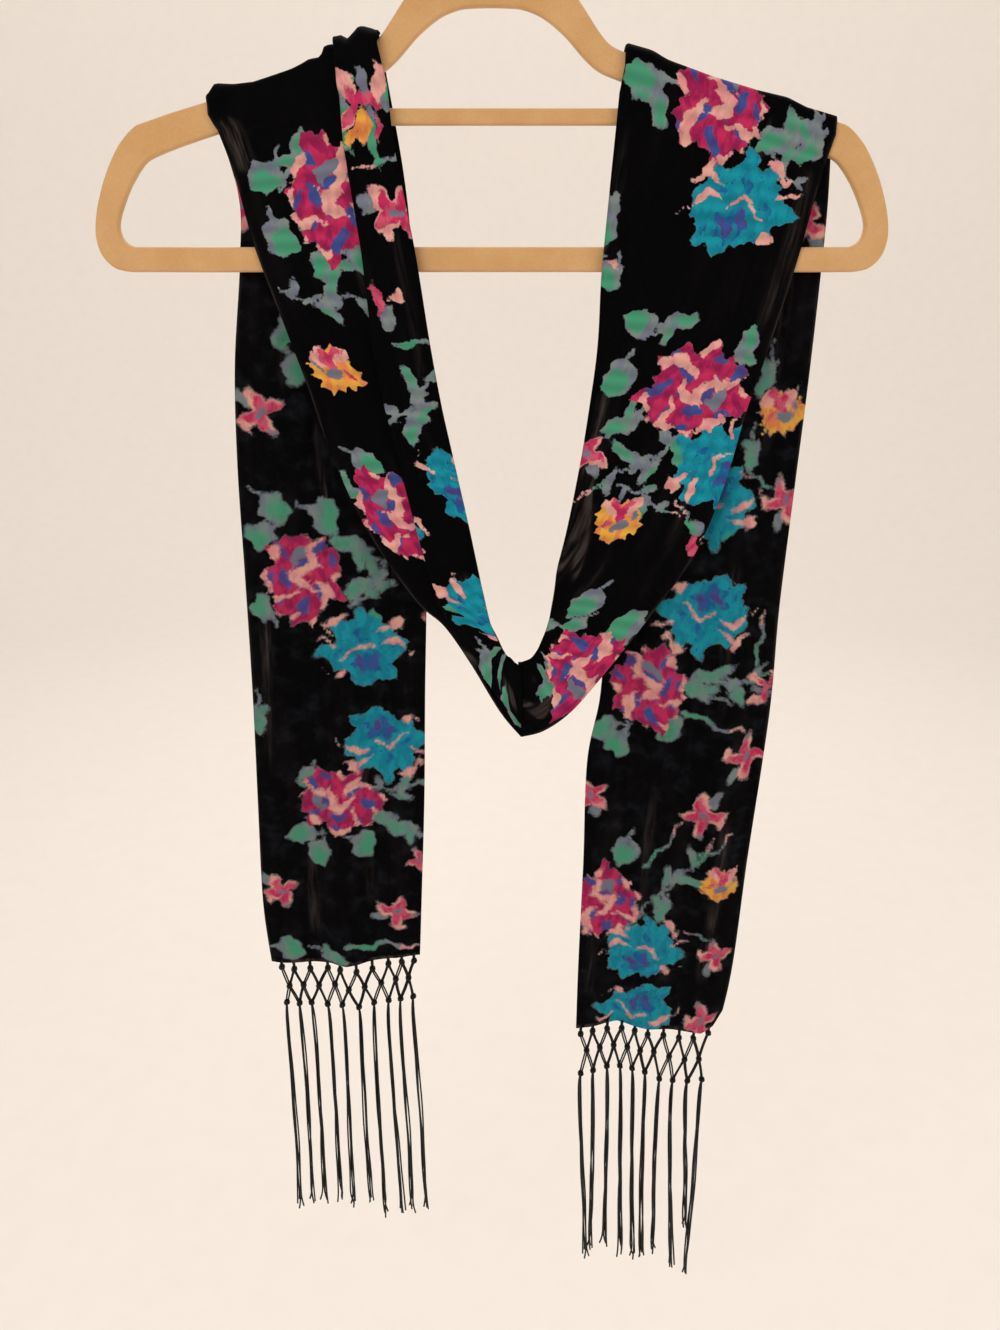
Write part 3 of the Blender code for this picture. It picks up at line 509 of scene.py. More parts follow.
def tail(rows, arm, line_of, phase, sag):
    """A tail behind the hanger, from the seam behind the arm to the hem."""
    drop = AROUND_ARM[-1][2] - SEAM_GAP
    first = (arm[0], arm_top(arm[0]) + drop, arm[1], arm_top(arm[1]) + drop, AROUND_ARM[-1][1]) + rows[0][5:]
    rows = spline_rows([first] + rows[1:], np.linspace(0, 1, TAIL_ROWS))
    inner, outer = rows[:, [0, 4, 1]], rows[:, [2, 4, 3]]
    chord = np.linalg.norm(outer - inner, axis=1)
    w, h, s = line_of(chord, rows)
    turn = (phase + rows[:, 1] / WAVE_DRIFT)[:, None]
    swing = np.sin(2 * pi * TAIL_WAVES * w / chord[:, None] + turn)
    wave = rows[:, 7:8] * swing * np.minimum(1.0, w / WAVE_FULL)
    out = np.tile([0.0, 1.0, 0.0], (len(rows), 1))
    points, u, v = place_stretch(inner, outer, out, (w, h + wave, s))
    near = np.clip(1 - (v[-1] - v) / SAG_REACH, 0.0, 1.0) ** 2
    points[..., 2] += near * read_table(sag, w / chord[:, None])
    return points, u, v


def left_tail():
    """The left tail."""
    return tail(LEFT_TAIL, LEFT_ARM, lambda c, r: pleat_lines(c, PLEAT_TOP, r[:, 5], np.radians(r[:, 6])),
                0.6, LEFT_SAG)


def right_tail():
    """The right tail."""
    return tail(RIGHT_TAIL, RIGHT_ARM, lambda c, r: rolled_lines(c, r[:, 5], np.radians(r[:, 6])), 2.1,
                RIGHT_SAG)


STRETCHES = {
    # name: its points, whether its grid has to be turned over for its normals to point away from the hanger
    "front_left": (left_strand, False),
    "front_right": (right_strand, True),
    "tail_left": (left_tail, True),
    "tail_right": (right_tail, False),
}


def surface_normals(points):
    """Unit normals of a grid of points, from its rows and columns."""
    normals = np.cross(np.gradient(points, axis=1), np.gradient(points, axis=0))
    return normals / np.maximum(np.linalg.norm(normals, axis=2, keepdims=True), 1e-9)


def lay_creases(points, u, v, creases, flip):
    """Presses soft troughs and ridges into a stretch, and gives the strength of the painted highlight on each
    ridge.
    """
    normals = surface_normals(points) * (-1 if flip else 1)
    push = np.zeros(u.shape)
    for start, end, bow, depth, half_width in creases:
        a, b = np.array(start, dtype=float), np.array(end, dtype=float)
        length = np.linalg.norm(b - a)
        along = (b - a) / length
        t = ((u - a[0]) * along[0] + (v - a[1]) * along[1]) / length
        side = (u - a[0]) * -along[1] + (v - a[1]) * along[0] - bow * 4 * t * (1 - t)
        ends = np.clip(np.minimum(t, 1 - t) * 4, 0.0, 1.0)
        push -= depth * np.exp(-(side / half_width) ** 2) * ends * ends * (3 - 2 * ends)
    return points + normals * push[..., None], np.clip(push - HIGHLIGHT_FROM, 0.0, 1.0)


class Pen:
    """Draws the print's shapes at points x and y, each a field in millimetres that is above 0 inside."""

    def __init__(self, x, y):
        self.x, self.y = x, y

    def oval(self, cx, cy, a, b, turn=0.0):
        """An ellipse."""
        c, s = cos(radians(turn)), sin(radians(turn))
        px, py = self.x - cx, self.y - cy
        return (1 - np.hypot((px * c + py * s) / a, (py * c - px * s) / b)) * min(a, b)

    def blob(self, cx, cy, a, b, lobes, spikes=()):
        """A round shape, its rim waved by lobes and cut into tips by spikes, each (count, depth, phase)."""
        px, py = (self.x - cx) / a, (self.y - cy) / b
        angle = np.arctan2(py, px)
        rim = 1 + sum(depth * np.cos(count * angle + phase) for count, depth, phase in lobes)
        for count, depth, phase in spikes:
            rim = rim + depth * (1 - 2 * np.abs(np.sin(count * angle / 2 + phase)))
        return (rim - np.hypot(px, py)) * min(a, b)

    def stroke(self, points, first, last):
        """A brush stroke through points, its half width going from first to last."""
        field = np.full(self.x.shape, -1e3)
        count = len(points) - 1
        for i in range(count):
            (ax, ay), (bx, by) = points[i], points[i + 1]
            dx, dy = bx - ax, by - ay
            t = np.clip(((self.x - ax) * dx + (self.y - ay) * dy) / (dx * dx + dy * dy), 0.0, 1.0)
            width = first + (last - first) * (i + t) / count
            field = np.maximum(field, width - np.hypot(self.x - ax - t * dx, self.y - ay - t * dy))
        return field

    def petal(self, cx, cy, radius, start, end, fat):
        """A crescent on part of a circle, fat in its middle and pointed at both ends."""
        angles = np.radians(np.linspace(start, end, 9))
        points = [(cx + radius * cos(a), cy + radius * sin(a)) for a in angles]
        return union(self.stroke(points[:5], PETAL_TIP, fat), self.stroke(points[4:], fat, PETAL_TIP))


def union(*fields):
    """Where any of the fields is inside."""
    return np.maximum.reduce(fields)


def pink_rose(pen, k):
    """A full crimson rose 70 by 60 mm: jagged petals, bold peach crescents, blue shadows and a grey heart."""
    head = pen.blob(0, 0, 30, 25, [(3, 0.06, k), (5, 0.06, 0.4 + k), (9, 0.05, k)],
                [(13, 0.08, 0.3), (7, 0.05, k), (31, 0.035, k)])
    peach = union(
        pen.petal(-13, 4, 12, 10, 140, 4.2), pen.petal(9, 9, 17, 180, 262, 3.4),
        pen.petal(19, -8, 16, 95, 190, 2.6), pen.petal(-2, -3, 21, 222, 292, 3.8),
        pen.petal(17, 12, 9, 190, 330, 3.2), pen.petal(-20, -9, 8, 120, 260, 3.2),
        pen.oval(28, 4, 3.6, 6.5, 10), pen.oval(-29, 9, 3.6, 6.0, -25), pen.oval(3, 24, 6.0, 3.4, 60),
        pen.oval(14, -19, 7.5, 3.2, 35), pen.stroke([(-16, -18), (-12, -12), (-11, -4)], 2.4, 0.8),
        pen.oval(2, -2, 5.5, 2.0, 80), pen.oval(-20, 17, 4.0, 2.0, 30),
    )
    blue = union(
        pen.oval(-9, 12, 8.0, 3.8, -50), pen.oval(-20, 1, 7.0, 3.4, 25), pen.oval(9, 1, 8.5, 3.2, 72),
        pen.oval(0, -11, 6.5, 3.2, -20), pen.oval(21, 9, 6.0, 3.4, 60), pen.oval(-15, -15, 6.0, 2.8, 60),
        pen.oval(18, -14, 6.0, 2.8, -45), pen.oval(-3, -20, 5.5, 2.2, 10), pen.oval(12, 18, 5.0, 2.2, 20),
        pen.stroke([(-24, 13), (-20, 17), (-14, 19)], 1.4, 2.4), pen.oval(-6, -2, 3.0, 1.8, 30),
    )
    heart = union(pen.oval(15, -3, 6.0, 3.6, 60), pen.oval(10, -7, 3.6, 2.0, -30))
    wine = union(pen.oval(-26, -2, 3.0, 6.0, 10), pen.oval(25, -6, 5.0, 2.4, -60),
                 pen.oval(-2, 19, 4.0, 2.0, 0), pen.oval(6, -23, 6.0, 1.8, 10),
                 pen.oval(-12, 21, 5.0, 1.6, 20))
    return {"crimson": head, "wine": np.minimum(wine, head), "peach": np.minimum(peach, head + 0.8),
            "blue": np.minimum(np.minimum(blue, head), 0.8 - peach), "ash": np.minimum(heart, head)}


def teal_rose(pen, k):
    """A teal rose 66 by 56 mm, calmer inside: a deep blue heart, few pale lines and peach tips at its rim."""
    head = pen.blob(0, 0, 26, 24, [(4, 0.07, 0.9 + k), (3, 0.05, k), (8, 0.05, 2 * k)],
                [(11, 0.07, 0.2 + k), (6, 0.05, 1.0), (27, 0.035, k)])
    head = union(head, pen.oval(25, -3, 10, 4.2, -35), pen.oval(6, 24, 3.8, 7.0, 8),
                 pen.oval(17, 15, 9, 5, 30))
    peach = union(
        pen.petal(-16, -3, 11, 50, 150, 2.7),
        pen.stroke([(-3, 2), (4, 4), (9, 1), (12, -6), (15, -8)], 1.3, 0.6),
        pen.petal(11, 9, 15, 10, 80, 3.0), pen.oval(-19, 20, 6.0, 4.4, 30),
        pen.stroke([(15, -17), (21, -22), (23, -29)], 2.2, 1.6), pen.stroke([(21, -22), (29, -18)], 1.8, 1.0),
        pen.stroke([(22, 2), (28, 5), (34, 3)], 1.5, 0.8), pen.oval(-30, 1, 2.6, 1.6, 60),
        pen.oval(-12, 16, 5.0, 1.6, -40), pen.stroke([(24, 10), (29, 14)], 1.6, 0.9),
    )
    deep = union(pen.blob(-3, -9, 10, 9, [(5, 0.18, 1.0)], [(7, 0.15, 0.2)]), pen.oval(5, 11, 2.6, 5.5, -8),
                 pen.oval(17, -2, 5.5, 1.8, -60), pen.oval(-18, -10, 4.5, 1.6, 40),
                 pen.oval(-10, 10, 5.0, 1.5, 20), pen.oval(10, -18, 4.5, 1.5, 15))
    blue = union(pen.oval(-6, -9, 3.0, 6.0, 15), pen.oval(3, -8, 3.0, 6.5, -12))
    return {"teal": head, "peach": np.minimum(peach, head + 6.0), "deep": np.minimum(deep, head),
            "blue": blue, "fern": np.minimum(pen.oval(-4, 24, 5.0, 3.0, 20), head)}


def round_leaf(pen, k):
    """A round leaf, grey with a green side, and its short stalk."""
    leaf = union(pen.blob(0, 0, 9.5, 8.2, [(3, 0.06, k), (5, 0.06, 2 * k), (8, 0.03, k)]),
                 pen.stroke([(7, -2), (12, -5), (16, -6)], 1.5, 0.7))
    return {"leaf": leaf, "green": pen.oval(-2.5, 2.0, 7.5, 6.0, 20 * k)}


def long_leaf(pen, k):
    """A long lobed leaf, green along its spine, with a bent stem."""
    leaf = union(pen.blob(0, 0, 13, 6.5, [(2, 0.08, k), (5, 0.09, 0.5 + k), (7, 0.05, k)]),
                 pen.oval(8, 7, 7, 3.6, 60), pen.stroke([(10, 1), (18, 5), (27, 6)], 1.9, 0.8))
    return {"leaf": leaf, "green": union(pen.oval(-5, 0, 8, 4, 0), pen.oval(8, 7, 5, 2.6, 60))}


def twig(pen, k):
    """A grey branching twig with narrow leaves and a pale tip."""
    wood = union(pen.stroke([(-26, -10), (-14, -3), (0, 0), (14, 3), (27, 10)], 1.3, 1.0),
                 pen.oval(-5, 7, 9, 3.2, 52), pen.oval(7, -7, 10, 3.8, -48), pen.oval(17, 9, 8, 2.8, 65),
                 pen.oval(-17, -10, 7, 2.6, -60), pen.blob(1, 1, 6, 4.5, [(5, 0.12, k)], [(6, 0.2, k)]))
    return {"leaf": wood, "green": union(pen.oval(9, -9, 7, 2.8, -48), pen.oval(-7, 9, 5, 2.2, 52),
                                         pen.oval(24, 8, 5, 2.0, 30)),
            "peach": pen.stroke([(27, 10), (33, 14), (38, 15)], 1.2, 0.6)}


def stem(pen, k):
    """A bent green stem that ends pale."""
    line = pen.stroke([(-15, -7), (-6, -1), (4, 0), (12, 5)], 1.7, 1.2)
    return {"leaf": line, "green": pen.oval(-8, -2, 8, 5, 25),
            "peach": pen.stroke([(12, 5), (17, 9), (21, 10)], 1.2, 0.7)}


def yellow_flower(pen, k):
    """A fringed yellow flower with red petals above, a grey heart and a green side."""
    head = pen.blob(0, -2, 13, 12, [(3, 0.05, k)], [(13, 0.13, k)])
    red = union(pen.oval(-3, 8, 6.0, 2.0, 150), pen.oval(3, 6, 6.5, 2.1, 65), pen.oval(0, 1, 2.4, 5.0, 10),
                pen.oval(-7, -4, 4.0, 1.4, 50))
    peach = union(pen.oval(-5, 6, 6, 4.4, 150), pen.oval(6, 7, 6.5, 4.2, 65))
    heart = union(pen.oval(1, -4, 5.0, 3.0, 10), pen.oval(8, 1, 3.4, 1.4, 60))
    side = np.minimum(pen.oval(-11, 1, 4.0, 6.0, -20), head)
    return {"yellow": head, "crimson2": np.minimum(red, head + 1.5), "peach": np.minimum(peach, head + 3.0),
            "ash": np.minimum(heart, head), "green": side, "leaf": side}


def orange_flower(pen, k):
    """A larger flower of peach and orange petals with crimson strokes, a grey petal and green sepals."""
    peach = union(pen.oval(-8, 9, 9, 3.6, 105), pen.oval(8, 10, 8, 3.6, 60), pen.oval(11, -6, 10, 2.8, -50))
    orange = union(pen.oval(-9, 8, 7, 1.6, 105), pen.oval(1, -8, 8, 3.4, 82), pen.oval(6, -9, 7, 2.2, 110))
    red = union(pen.oval(-1, 3, 8, 2.8, 8), pen.oval(7, -1, 9, 2.0, -50), pen.oval(6, 6, 5, 1.8, 60),
                pen.oval(-6, -7, 6, 1.6, 80))
    ash = union(pen.oval(0, 10, 5.5, 2.6, 80), pen.oval(-3, -3, 4.0, 1.8, 60))
    sepals = union(pen.oval(-4, -13, 10, 2.4, 75), pen.oval(9, -13, 6, 2.2, 60), pen.oval(-1, -8, 8, 1.4, 80))
    return {"yellow": orange, "peach": peach, "crimson2": red, "ash": ash, "leaf": sepals,
            "green": sepals + 1.0}


def small_flower(pen, k):
    """A small pink flower of four uneven petals with crimson hearts and a grey leaf."""
    turns = ((1.25, 7.5, 8.0, 3.9), (2.9, 7.0, 7.6, 4.4), (4.4, 8.0, 9.0, 4.6), (5.9, 6.5, 7.0, 3.8))
    petals = [pen.oval(far * cos(a), far * sin(a), long, wide, a * 180 / pi) for a, far, long, wide in turns]
    petals = union(*petals, pen.oval(-10, 7, 3.4, 2.4, 60))
    inner = union(*(pen.oval(5.0 * cos(a + 0.12), 5.0 * sin(a + 0.12), 7.8, 3.1, a * 180 / pi + 8)
                    for a, *_ in turns))
    return {"peach": petals, "crimson2": np.minimum(inner, petals), "leaf": pen.oval(-10, -10, 6.5, 3.6, 45),
            "ash": np.minimum(union(pen.oval(0, 0, 3.2, 2.2, 30), pen.oval(4, 13, 3.0, 2.0, 60)), petals)}


def bud(pen, k):
    """A grey, crimson and peach bud."""
    return {"leaf": pen.oval(0, 9, 4.0, 6.0, 0), "crimson2": pen.oval(-2, -2, 2.6, 7.5, 10),
            "peach": pen.petal(4, -5, 6, -30, 120, 2.2)}


KINDS = {"pink": (pink_rose, 40), "teal": (teal_rose, 40), "round": (round_leaf, 20), "long": (long_leaf, 30),
         "twig": (twig, 42), "stem": (stem, 26), "yellow": (yellow_flower, 20), "orange": (orange_flower, 28),
         "small": (small_flower, 20), "bud": (bud, 20)}
LAYERS = ["leaf", "green", "crimson", "wine", "teal", "fern", "yellow", "deep", "blue", "peach", "crimson2",
          "ash"]


def print_fields(u, v, motifs):
    """The print's fields over a stretch: for each colour, how far inside its shapes a point lies, in mm."""
    fields = {layer: np.full(u.shape, -FIELD_REACH) for layer in LAYERS}
    for index, (kind, cu, cv, turn, size) in enumerate(motifs):
        paint, reach = KINDS[kind]
        near = np.hypot(u - cu, v - cv) < reach * size + FIELD_REACH
        if not near.any():
            continue
        c, s = cos(radians(turn)), sin(radians(turn))
        du, dv = (u[near] - cu) / size, -(v[near] - cv) / size
        x, y, k = du * c + dv * s, dv * c - du * s, 0.7 * index % 3.0
        bent_x = x + 1.3 * np.sin(0.33 * y + 2 * k) + 0.6 * np.sin(0.9 * y + k)
        bent_y = y + 1.2 * np.sin(0.36 * x + 3 * k) + 0.5 * np.sin(x + k)
        for layer, field in paint(Pen(bent_x, bent_y), k).items():
            field = np.clip(field * size, -FIELD_REACH, FIELD_REACH)
            fields[layer][near] = np.maximum(fields[layer][near], field)
    return fields


def cloth_mesh(name, points, u, v, fields, flip):
    """A grid laid through a stretch's points, with its cloth coordinates as UVs in metres and its fields."""
    rows, columns = u.shape
    bm = bmesh.new()
    bmesh.ops.create_grid(bm, x_segments=columns - 1, y_segments=rows - 1, size=0.5)
    if flip:
        bmesh.ops.reverse_faces(bm, faces=bm.faces)
    mesh = bpy.data.meshes.new(name)
    bm.to_mesh(mesh)
    bm.free()
    flat = np.empty(len(mesh.vertices) * 3)
    mesh.vertices.foreach_get("co", flat)
    flat = flat.reshape(-1, 3)
    column = np.rint((flat[:, 0] + 0.5) * (columns - 1)).astype(int)
    row = np.rint((flat[:, 1] + 0.5) * (rows - 1)).astype(int)
    mesh.vertices.foreach_set("co", (points[row, column] * MM).ravel())
    corner = np.empty(len(mesh.loops), dtype=int)
    mesh.loops.foreach_get("vertex_index", corner)
    uv = np.stack([u[row, column][corner], v[row, column][corner]], axis=1) * MM
    mesh.uv_layers.new(name="cloth").data.foreach_set("uv", uv.ravel())
    for layer, field in fields.items():
        mesh.attributes.new(layer, "FLOAT", "POINT").data.foreach_set("value", field[row, column])
    mesh.shade_smooth()
    mesh.update()
    return mesh


def srgb(*levels):
    """A linear colour from its levels out of 255."""
    return tuple((c / 255 / 12.92) if c <= 10 else ((c / 255 + 0.055) / 1.055) ** 2.4 for c in levels)


class Nodes:
    """A material's node tree, written as calls."""

    def __init__(self, name):
        self.material = bpy.data.materials.new(name)
        self.material.use_nodes = True
        self.tree = self.material.node_tree
        self.shader = self.tree.nodes["Principled BSDF"]

    def add(self, kind, inputs=None, output=0, **settings):
        """A node with its settings and inputs, and the output asked for."""
        node = self.tree.nodes.new(kind)
        for key, value in settings.items():
            setattr(node, key, value)
        for key, value in (inputs or {}).items():
            self.put(node.inputs[key], value)
        return node.outputs[output]

    def put(self, socket, value):
        """Links a socket to another node's output, or sets its value."""
        if isinstance(value, bpy.types.NodeSocket):
            self.tree.links.new(value, socket)
        else:
            socket.default_value = value

    def math(self, operation, a, b=0.0):
        """A Math node."""
        return self.add("ShaderNodeMath", {0: a, 1: b, 2: 0.0}, operation=operation)

    def ramp(self, value, low, high, to_low=0.0, to_high=1.0):
        """A smooth step of a value between low and high."""
        limits = {"From Min": low, "From Max": high, "To Min": to_low, "To Max": to_high}
        return self.add("ShaderNodeMapRange", {"Value": value, **limits}, interpolation_type="SMOOTHSTEP")

    def mix(self, share, a, b):
        """A colour mix."""
        return self.add("ShaderNodeMix", {0: share, 6: a, 7: b}, output=2, data_type="RGBA")

    def noise(self, vector, scale, detail=3.0, rough=0.55):
        """A noise value on a vector."""
        inputs = {"Vector": vector, "Scale": scale, "Detail": detail, "Roughness": rough}
        return self.add("ShaderNodeTexNoise", inputs)

    def scaled(self, vector, *factors):
        """A vector stretched along its axes."""
        return self.add("ShaderNodeVectorMath", {0: vector, 1: factors}, operation="MULTIPLY")

    def finish(self, colour, rough, normal=None, **values):
        """Sets the shader's colour, roughness and normal, and its other values on their sockets."""
        self.put(self.shader.inputs["Base Color"], colour)
        self.put(self.shader.inputs["Roughness"], rough)
        if normal is not None:
            self.put(self.shader.inputs["Normal"], normal)
        for key, value in values.items():
            self.shader.inputs[key.replace("_", " ")].default_value = value
        return self.material


def velvet_finish(name, reverse):
    """Printed burnout velvet: dark pile with a nap, and flat ribbed print where the pile is burnt away.

    The reverse shows the same print softer and greyer, through a faint mottled bloom.
    """
    settings, inks = bpy.context.scene.scarf_settings, bpy.context.scene.print_settings
    n = Nodes(name)
    cloth = n.add("ShaderNodeUVMap", uv_map="cloth")
    brush = n.noise(n.scaled(cloth, 1.0, 0.5, 1.0), 190.0, 3.0, 0.55)
    wander = n.math("MULTIPLY", n.math("SUBTRACT", n.noise(cloth, 520.0, 3.0, 0.6), 0.5), 2.6)
    nap = n.noise(n.scaled(cloth, 1.0, 0.16, 1.0), 42.0, 4.0, 0.6)
    mottle = n.noise(cloth, 70.0, 5.0, 0.65)
    # Random streaks of lighter pile along the nap: the nap's own tone with painted sheen
    base = n.mix(n.ramp(nap, 0.50, 0.80), (*settings.pile, 1.0), (*settings.nap_sheen, 1.0))
    # Painted highlight: a lighter pile colour on the crests of folds, the outer edge and the hem, broken into
    # streaks
    highlight_streaks = n.ramp(n.noise(n.scaled(cloth, 1.0, 0.09, 1.0), 300.0, 4.0, 0.6), 0.38, 0.66)
    crest_highlight = n.ramp(n.add("ShaderNodeAttribute", attribute_name="crest_highlight", output=2), 0.0, 1.0)
    base = n.mix(n.math("MULTIPLY", crest_highlight, highlight_streaks), base, (*settings.crest_highlight, 1.0))
    if reverse:
        base = n.mix(n.ramp(mottle, 0.46, 0.80), base, (*settings.bloom, 1.0))
    shade = n.ramp(brush, 0.42, 0.60)
    fleck = n.ramp(n.noise(cloth, 330.0, 2.0), 0.64, 0.68)
    tints = {
        "leaf": n.mix(shade, (*inks.grey, 1.0), (*inks.ash, 1.0)),
        "green": (*inks.green, 1.0),
        "crimson": n.mix(shade, (*inks.crimson, 1.0), (*inks.wine, 1.0)),
        "teal": n.mix(fleck, n.mix(shade, (*inks.teal, 1.0), (*inks.sea, 1.0)), (*inks.deep, 1.0)),
        "wine": (*inks.wine, 1.0),
        "fern": (*inks.green, 1.0),
        "yellow": n.mix(shade, (*inks.yellow, 1.0), (*inks.orange, 1.0)),
        "blue": n.mix(shade, (*inks.blue, 1.0), (*inks.violet, 1.0)),
        "deep": n.mix(shade, (*inks.deep, 1.0), (*inks.sea, 1.0)),
        "peach": n.mix(shade, (*inks.peach, 1.0), (*inks.pink, 1.0)),
        "crimson2": n.mix(shade, (*inks.crimson, 1.0), (*inks.rose, 1.0)),
        "ash": (*inks.ash, 1.0),
    }
    burnt, colour, leafy = None, None, None
    for layer in LAYERS:
        soft = (1.1 if reverse else 0.40) * (4.5 if layer == "green" else 1.0)
        field = n.math("ADD", n.add("ShaderNodeAttribute", attribute_name=layer, output=2), wander)
        inside = n.ramp(field, -soft, soft)
        if layer == "leaf":
            burnt, leafy, colour = inside, inside, tints[layer]
            continue
        if layer == "green":
            inside = n.math("MULTIPLY", inside, leafy)
        else:
            burnt = n.math("MAXIMUM", burnt, inside)
        colour = n.mix(inside, colour, tints[layer])
    ribs = {"Vector": cloth, "Scale": RIB_WAVE / TEXTURE_FACTOR, "Distortion": 0.6, "Detail": 1.0}
    ribs = n.add("ShaderNodeTexWave", ribs, output=1, wave_type="BANDS", bands_direction="Y")
    if reverse:
        colour = n.mix(0.22, colour, (*settings.bloom, 1.0))
        colour = n.mix(n.ramp(mottle, 0.50, 0.85, 0.0, 0.45), colour, (*settings.pile, 1.0))
    else:
        colour = n.mix(n.math("MULTIPLY", ribs, 0.22), colour, (*settings.pile, 1.0))
    colour = n.mix(burnt, base, colour)
    fuzz = n.noise(cloth, 1800.0, 2.0)
    flat_height = n.math("MULTIPLY", n.math("MULTIPLY", ribs, burnt), 0.25 if reverse else 0.8)
    fuzz = n.math("ADD", n.math("MULTIPLY", fuzz, 0.5), 0.9)
    pile_height = n.math("MULTIPLY", n.math("SUBTRACT", 1.0, burnt), fuzz)
    height = n.math("ADD", flat_height, pile_height)
    normal = n.add("ShaderNodeBump", {"Strength": 0.5, "Distance": 0.0003, "Height": height})
    rough = n.math("ADD", n.math("MULTIPLY", burnt, -0.10), 0.72)
    return n.finish(colour, rough, normal, Sheen_Weight=settings.sheen, Sheen_Roughness=0.32,
                    Sheen_Tint=(0.50, 0.43, 0.42, 1.0), Specular_IOR_Level=0.035)


def cord_finish():
    """Black twisted rayon cord: a soft gloss and a twist that runs round it."""
    n = Nodes("twisted black cord")
    around = n.add("ShaderNodeSeparateXYZ", {0: n.add("ShaderNodeUVMap", uv_map="cord")}, output=0)
    height = n.add("ShaderNodeSeparateXYZ", {0: n.add("ShaderNodeTexCoord", output=3)}, output=2)
    turn = n.math("ADD", n.math("MULTIPLY", around, 4 * pi), n.math("MULTIPLY", height, 4200.0))
    ply = n.math("ABSOLUTE", n.math("SINE", turn))
    normal = n.add("ShaderNodeBump", {"Strength": 0.6, "Distance": 0.00025, "Height": ply})
    # Painted shade and highlight: the cord is darker in the grooves between its plies and lighter on their
    # crowns
    colour = n.mix(n.ramp(ply, 0.2, 1.0), (0.0008, 0.0007, 0.0009, 1.0), (0.004, 0.0038, 0.004, 1.0))
    return n.finish(colour, 0.5, normal, Sheen_Weight=0.02, Specular_IOR_Level=0.2)


def flock_finish():
    """Tan flocked plastic: a matte nap with a fine grain and slight wear."""
    n = Nodes("tan flock")
    place = n.add("ShaderNodeTexCoord", output=3)
    grain = n.noise(place, 1500.0, 3.0)
    patches = n.noise(place, 28.0, 3.0)
    settings = bpy.context.scene.hanger_settings
    colour = n.mix(n.ramp(patches, 0.35, 0.7), (*settings.flock, 1.0), (*settings.worn, 1.0))
    colour = n.mix(n.ramp(grain, 0.4, 0.75, 0.0, 0.25), colour, (*settings.shade, 1.0))
    normal = n.add("ShaderNodeBump", {"Strength": 0.35, "Distance": 0.0002, "Height": grain})
    return n.finish(colour, 0.82, normal, Sheen_Weight=0.35, Sheen_Roughness=0.5,
                    Sheen_Tint=(1.0, 0.9, 0.75, 1.0), Specular_IOR_Level=0.25)


def steel_finish():
    """Polished wire with faint drawing marks."""
    n = Nodes("polished wire")
    marks = n.noise(n.scaled(n.add("ShaderNodeTexCoord", output=3), 1.0, 1.0, 12.0), 220.0, 3.0)
    normal = n.add("ShaderNodeBump", {"Strength": 0.08, "Distance": 0.0001, "Height": marks})
    return n.finish((0.66, 0.66, 0.67, 1.0), n.ramp(marks, 0.3, 0.8, 0.12, 0.28), normal, Metallic=1.0)


def finished_mesh(name, bm):
    """A smooth mesh from a bmesh, which is freed."""
    mesh = bpy.data.meshes.new(name)
    bm.to_mesh(mesh)
    bm.free()
    mesh.shade_smooth()
    return mesh


def new_piece(name, mesh, *materials):
    """An object in the scene with its materials."""
    piece = bpy.data.objects.new(name, mesh)
    bpy.context.scene.collection.objects.link(piece)
    for item in materials:
        piece.data.materials.append(item)
    return piece


def add_tube(bm, path, radius, sides):
    """A round cord through points in millimetres, as a grid wrapped round its path with its own UVs."""
    rings = len(path)
    made = bmesh.ops.create_grid(bm, x_segments=sides, y_segments=rings - 1, size=0.5, calc_uvs=True)["verts"]
    path = [Vector(p) for p in path]
    frames = []
    side = None
    for i in range(rings):
        along = (path[min(i + 1, rings - 1)] - path[max(i - 1, 0)]).normalized()
        side = along.orthogonal() if side is None else side - along * side.dot(along)
        side.normalize()
        frames.append((side.copy(), along.cross(side)))
    for vert in made:
        i = round((vert.co.x + 0.5) * sides)
        j = round((vert.co.y + 0.5) * (rings - 1))
        angle = 2 * pi * (i % sides) / sides
        width = radius(j / (rings - 1)) if callable(radius) else radius
        a, b = frames[j]
        vert.co = (path[j] + (a * cos(angle) + b * sin(angle)) * width) * MM


def close_tubes(bm):
    """Joins the seams of tubes and fills their ends."""
    bmesh.ops.remove_doubles(bm, verts=bm.verts, dist=1e-7)
    ends = [edge for edge in bm.edges if edge.is_boundary]
    bmesh.ops.holes_fill(bm, edges=ends, sides=0)
    bmesh.ops.recalc_face_normals(bm, faces=bm.faces)


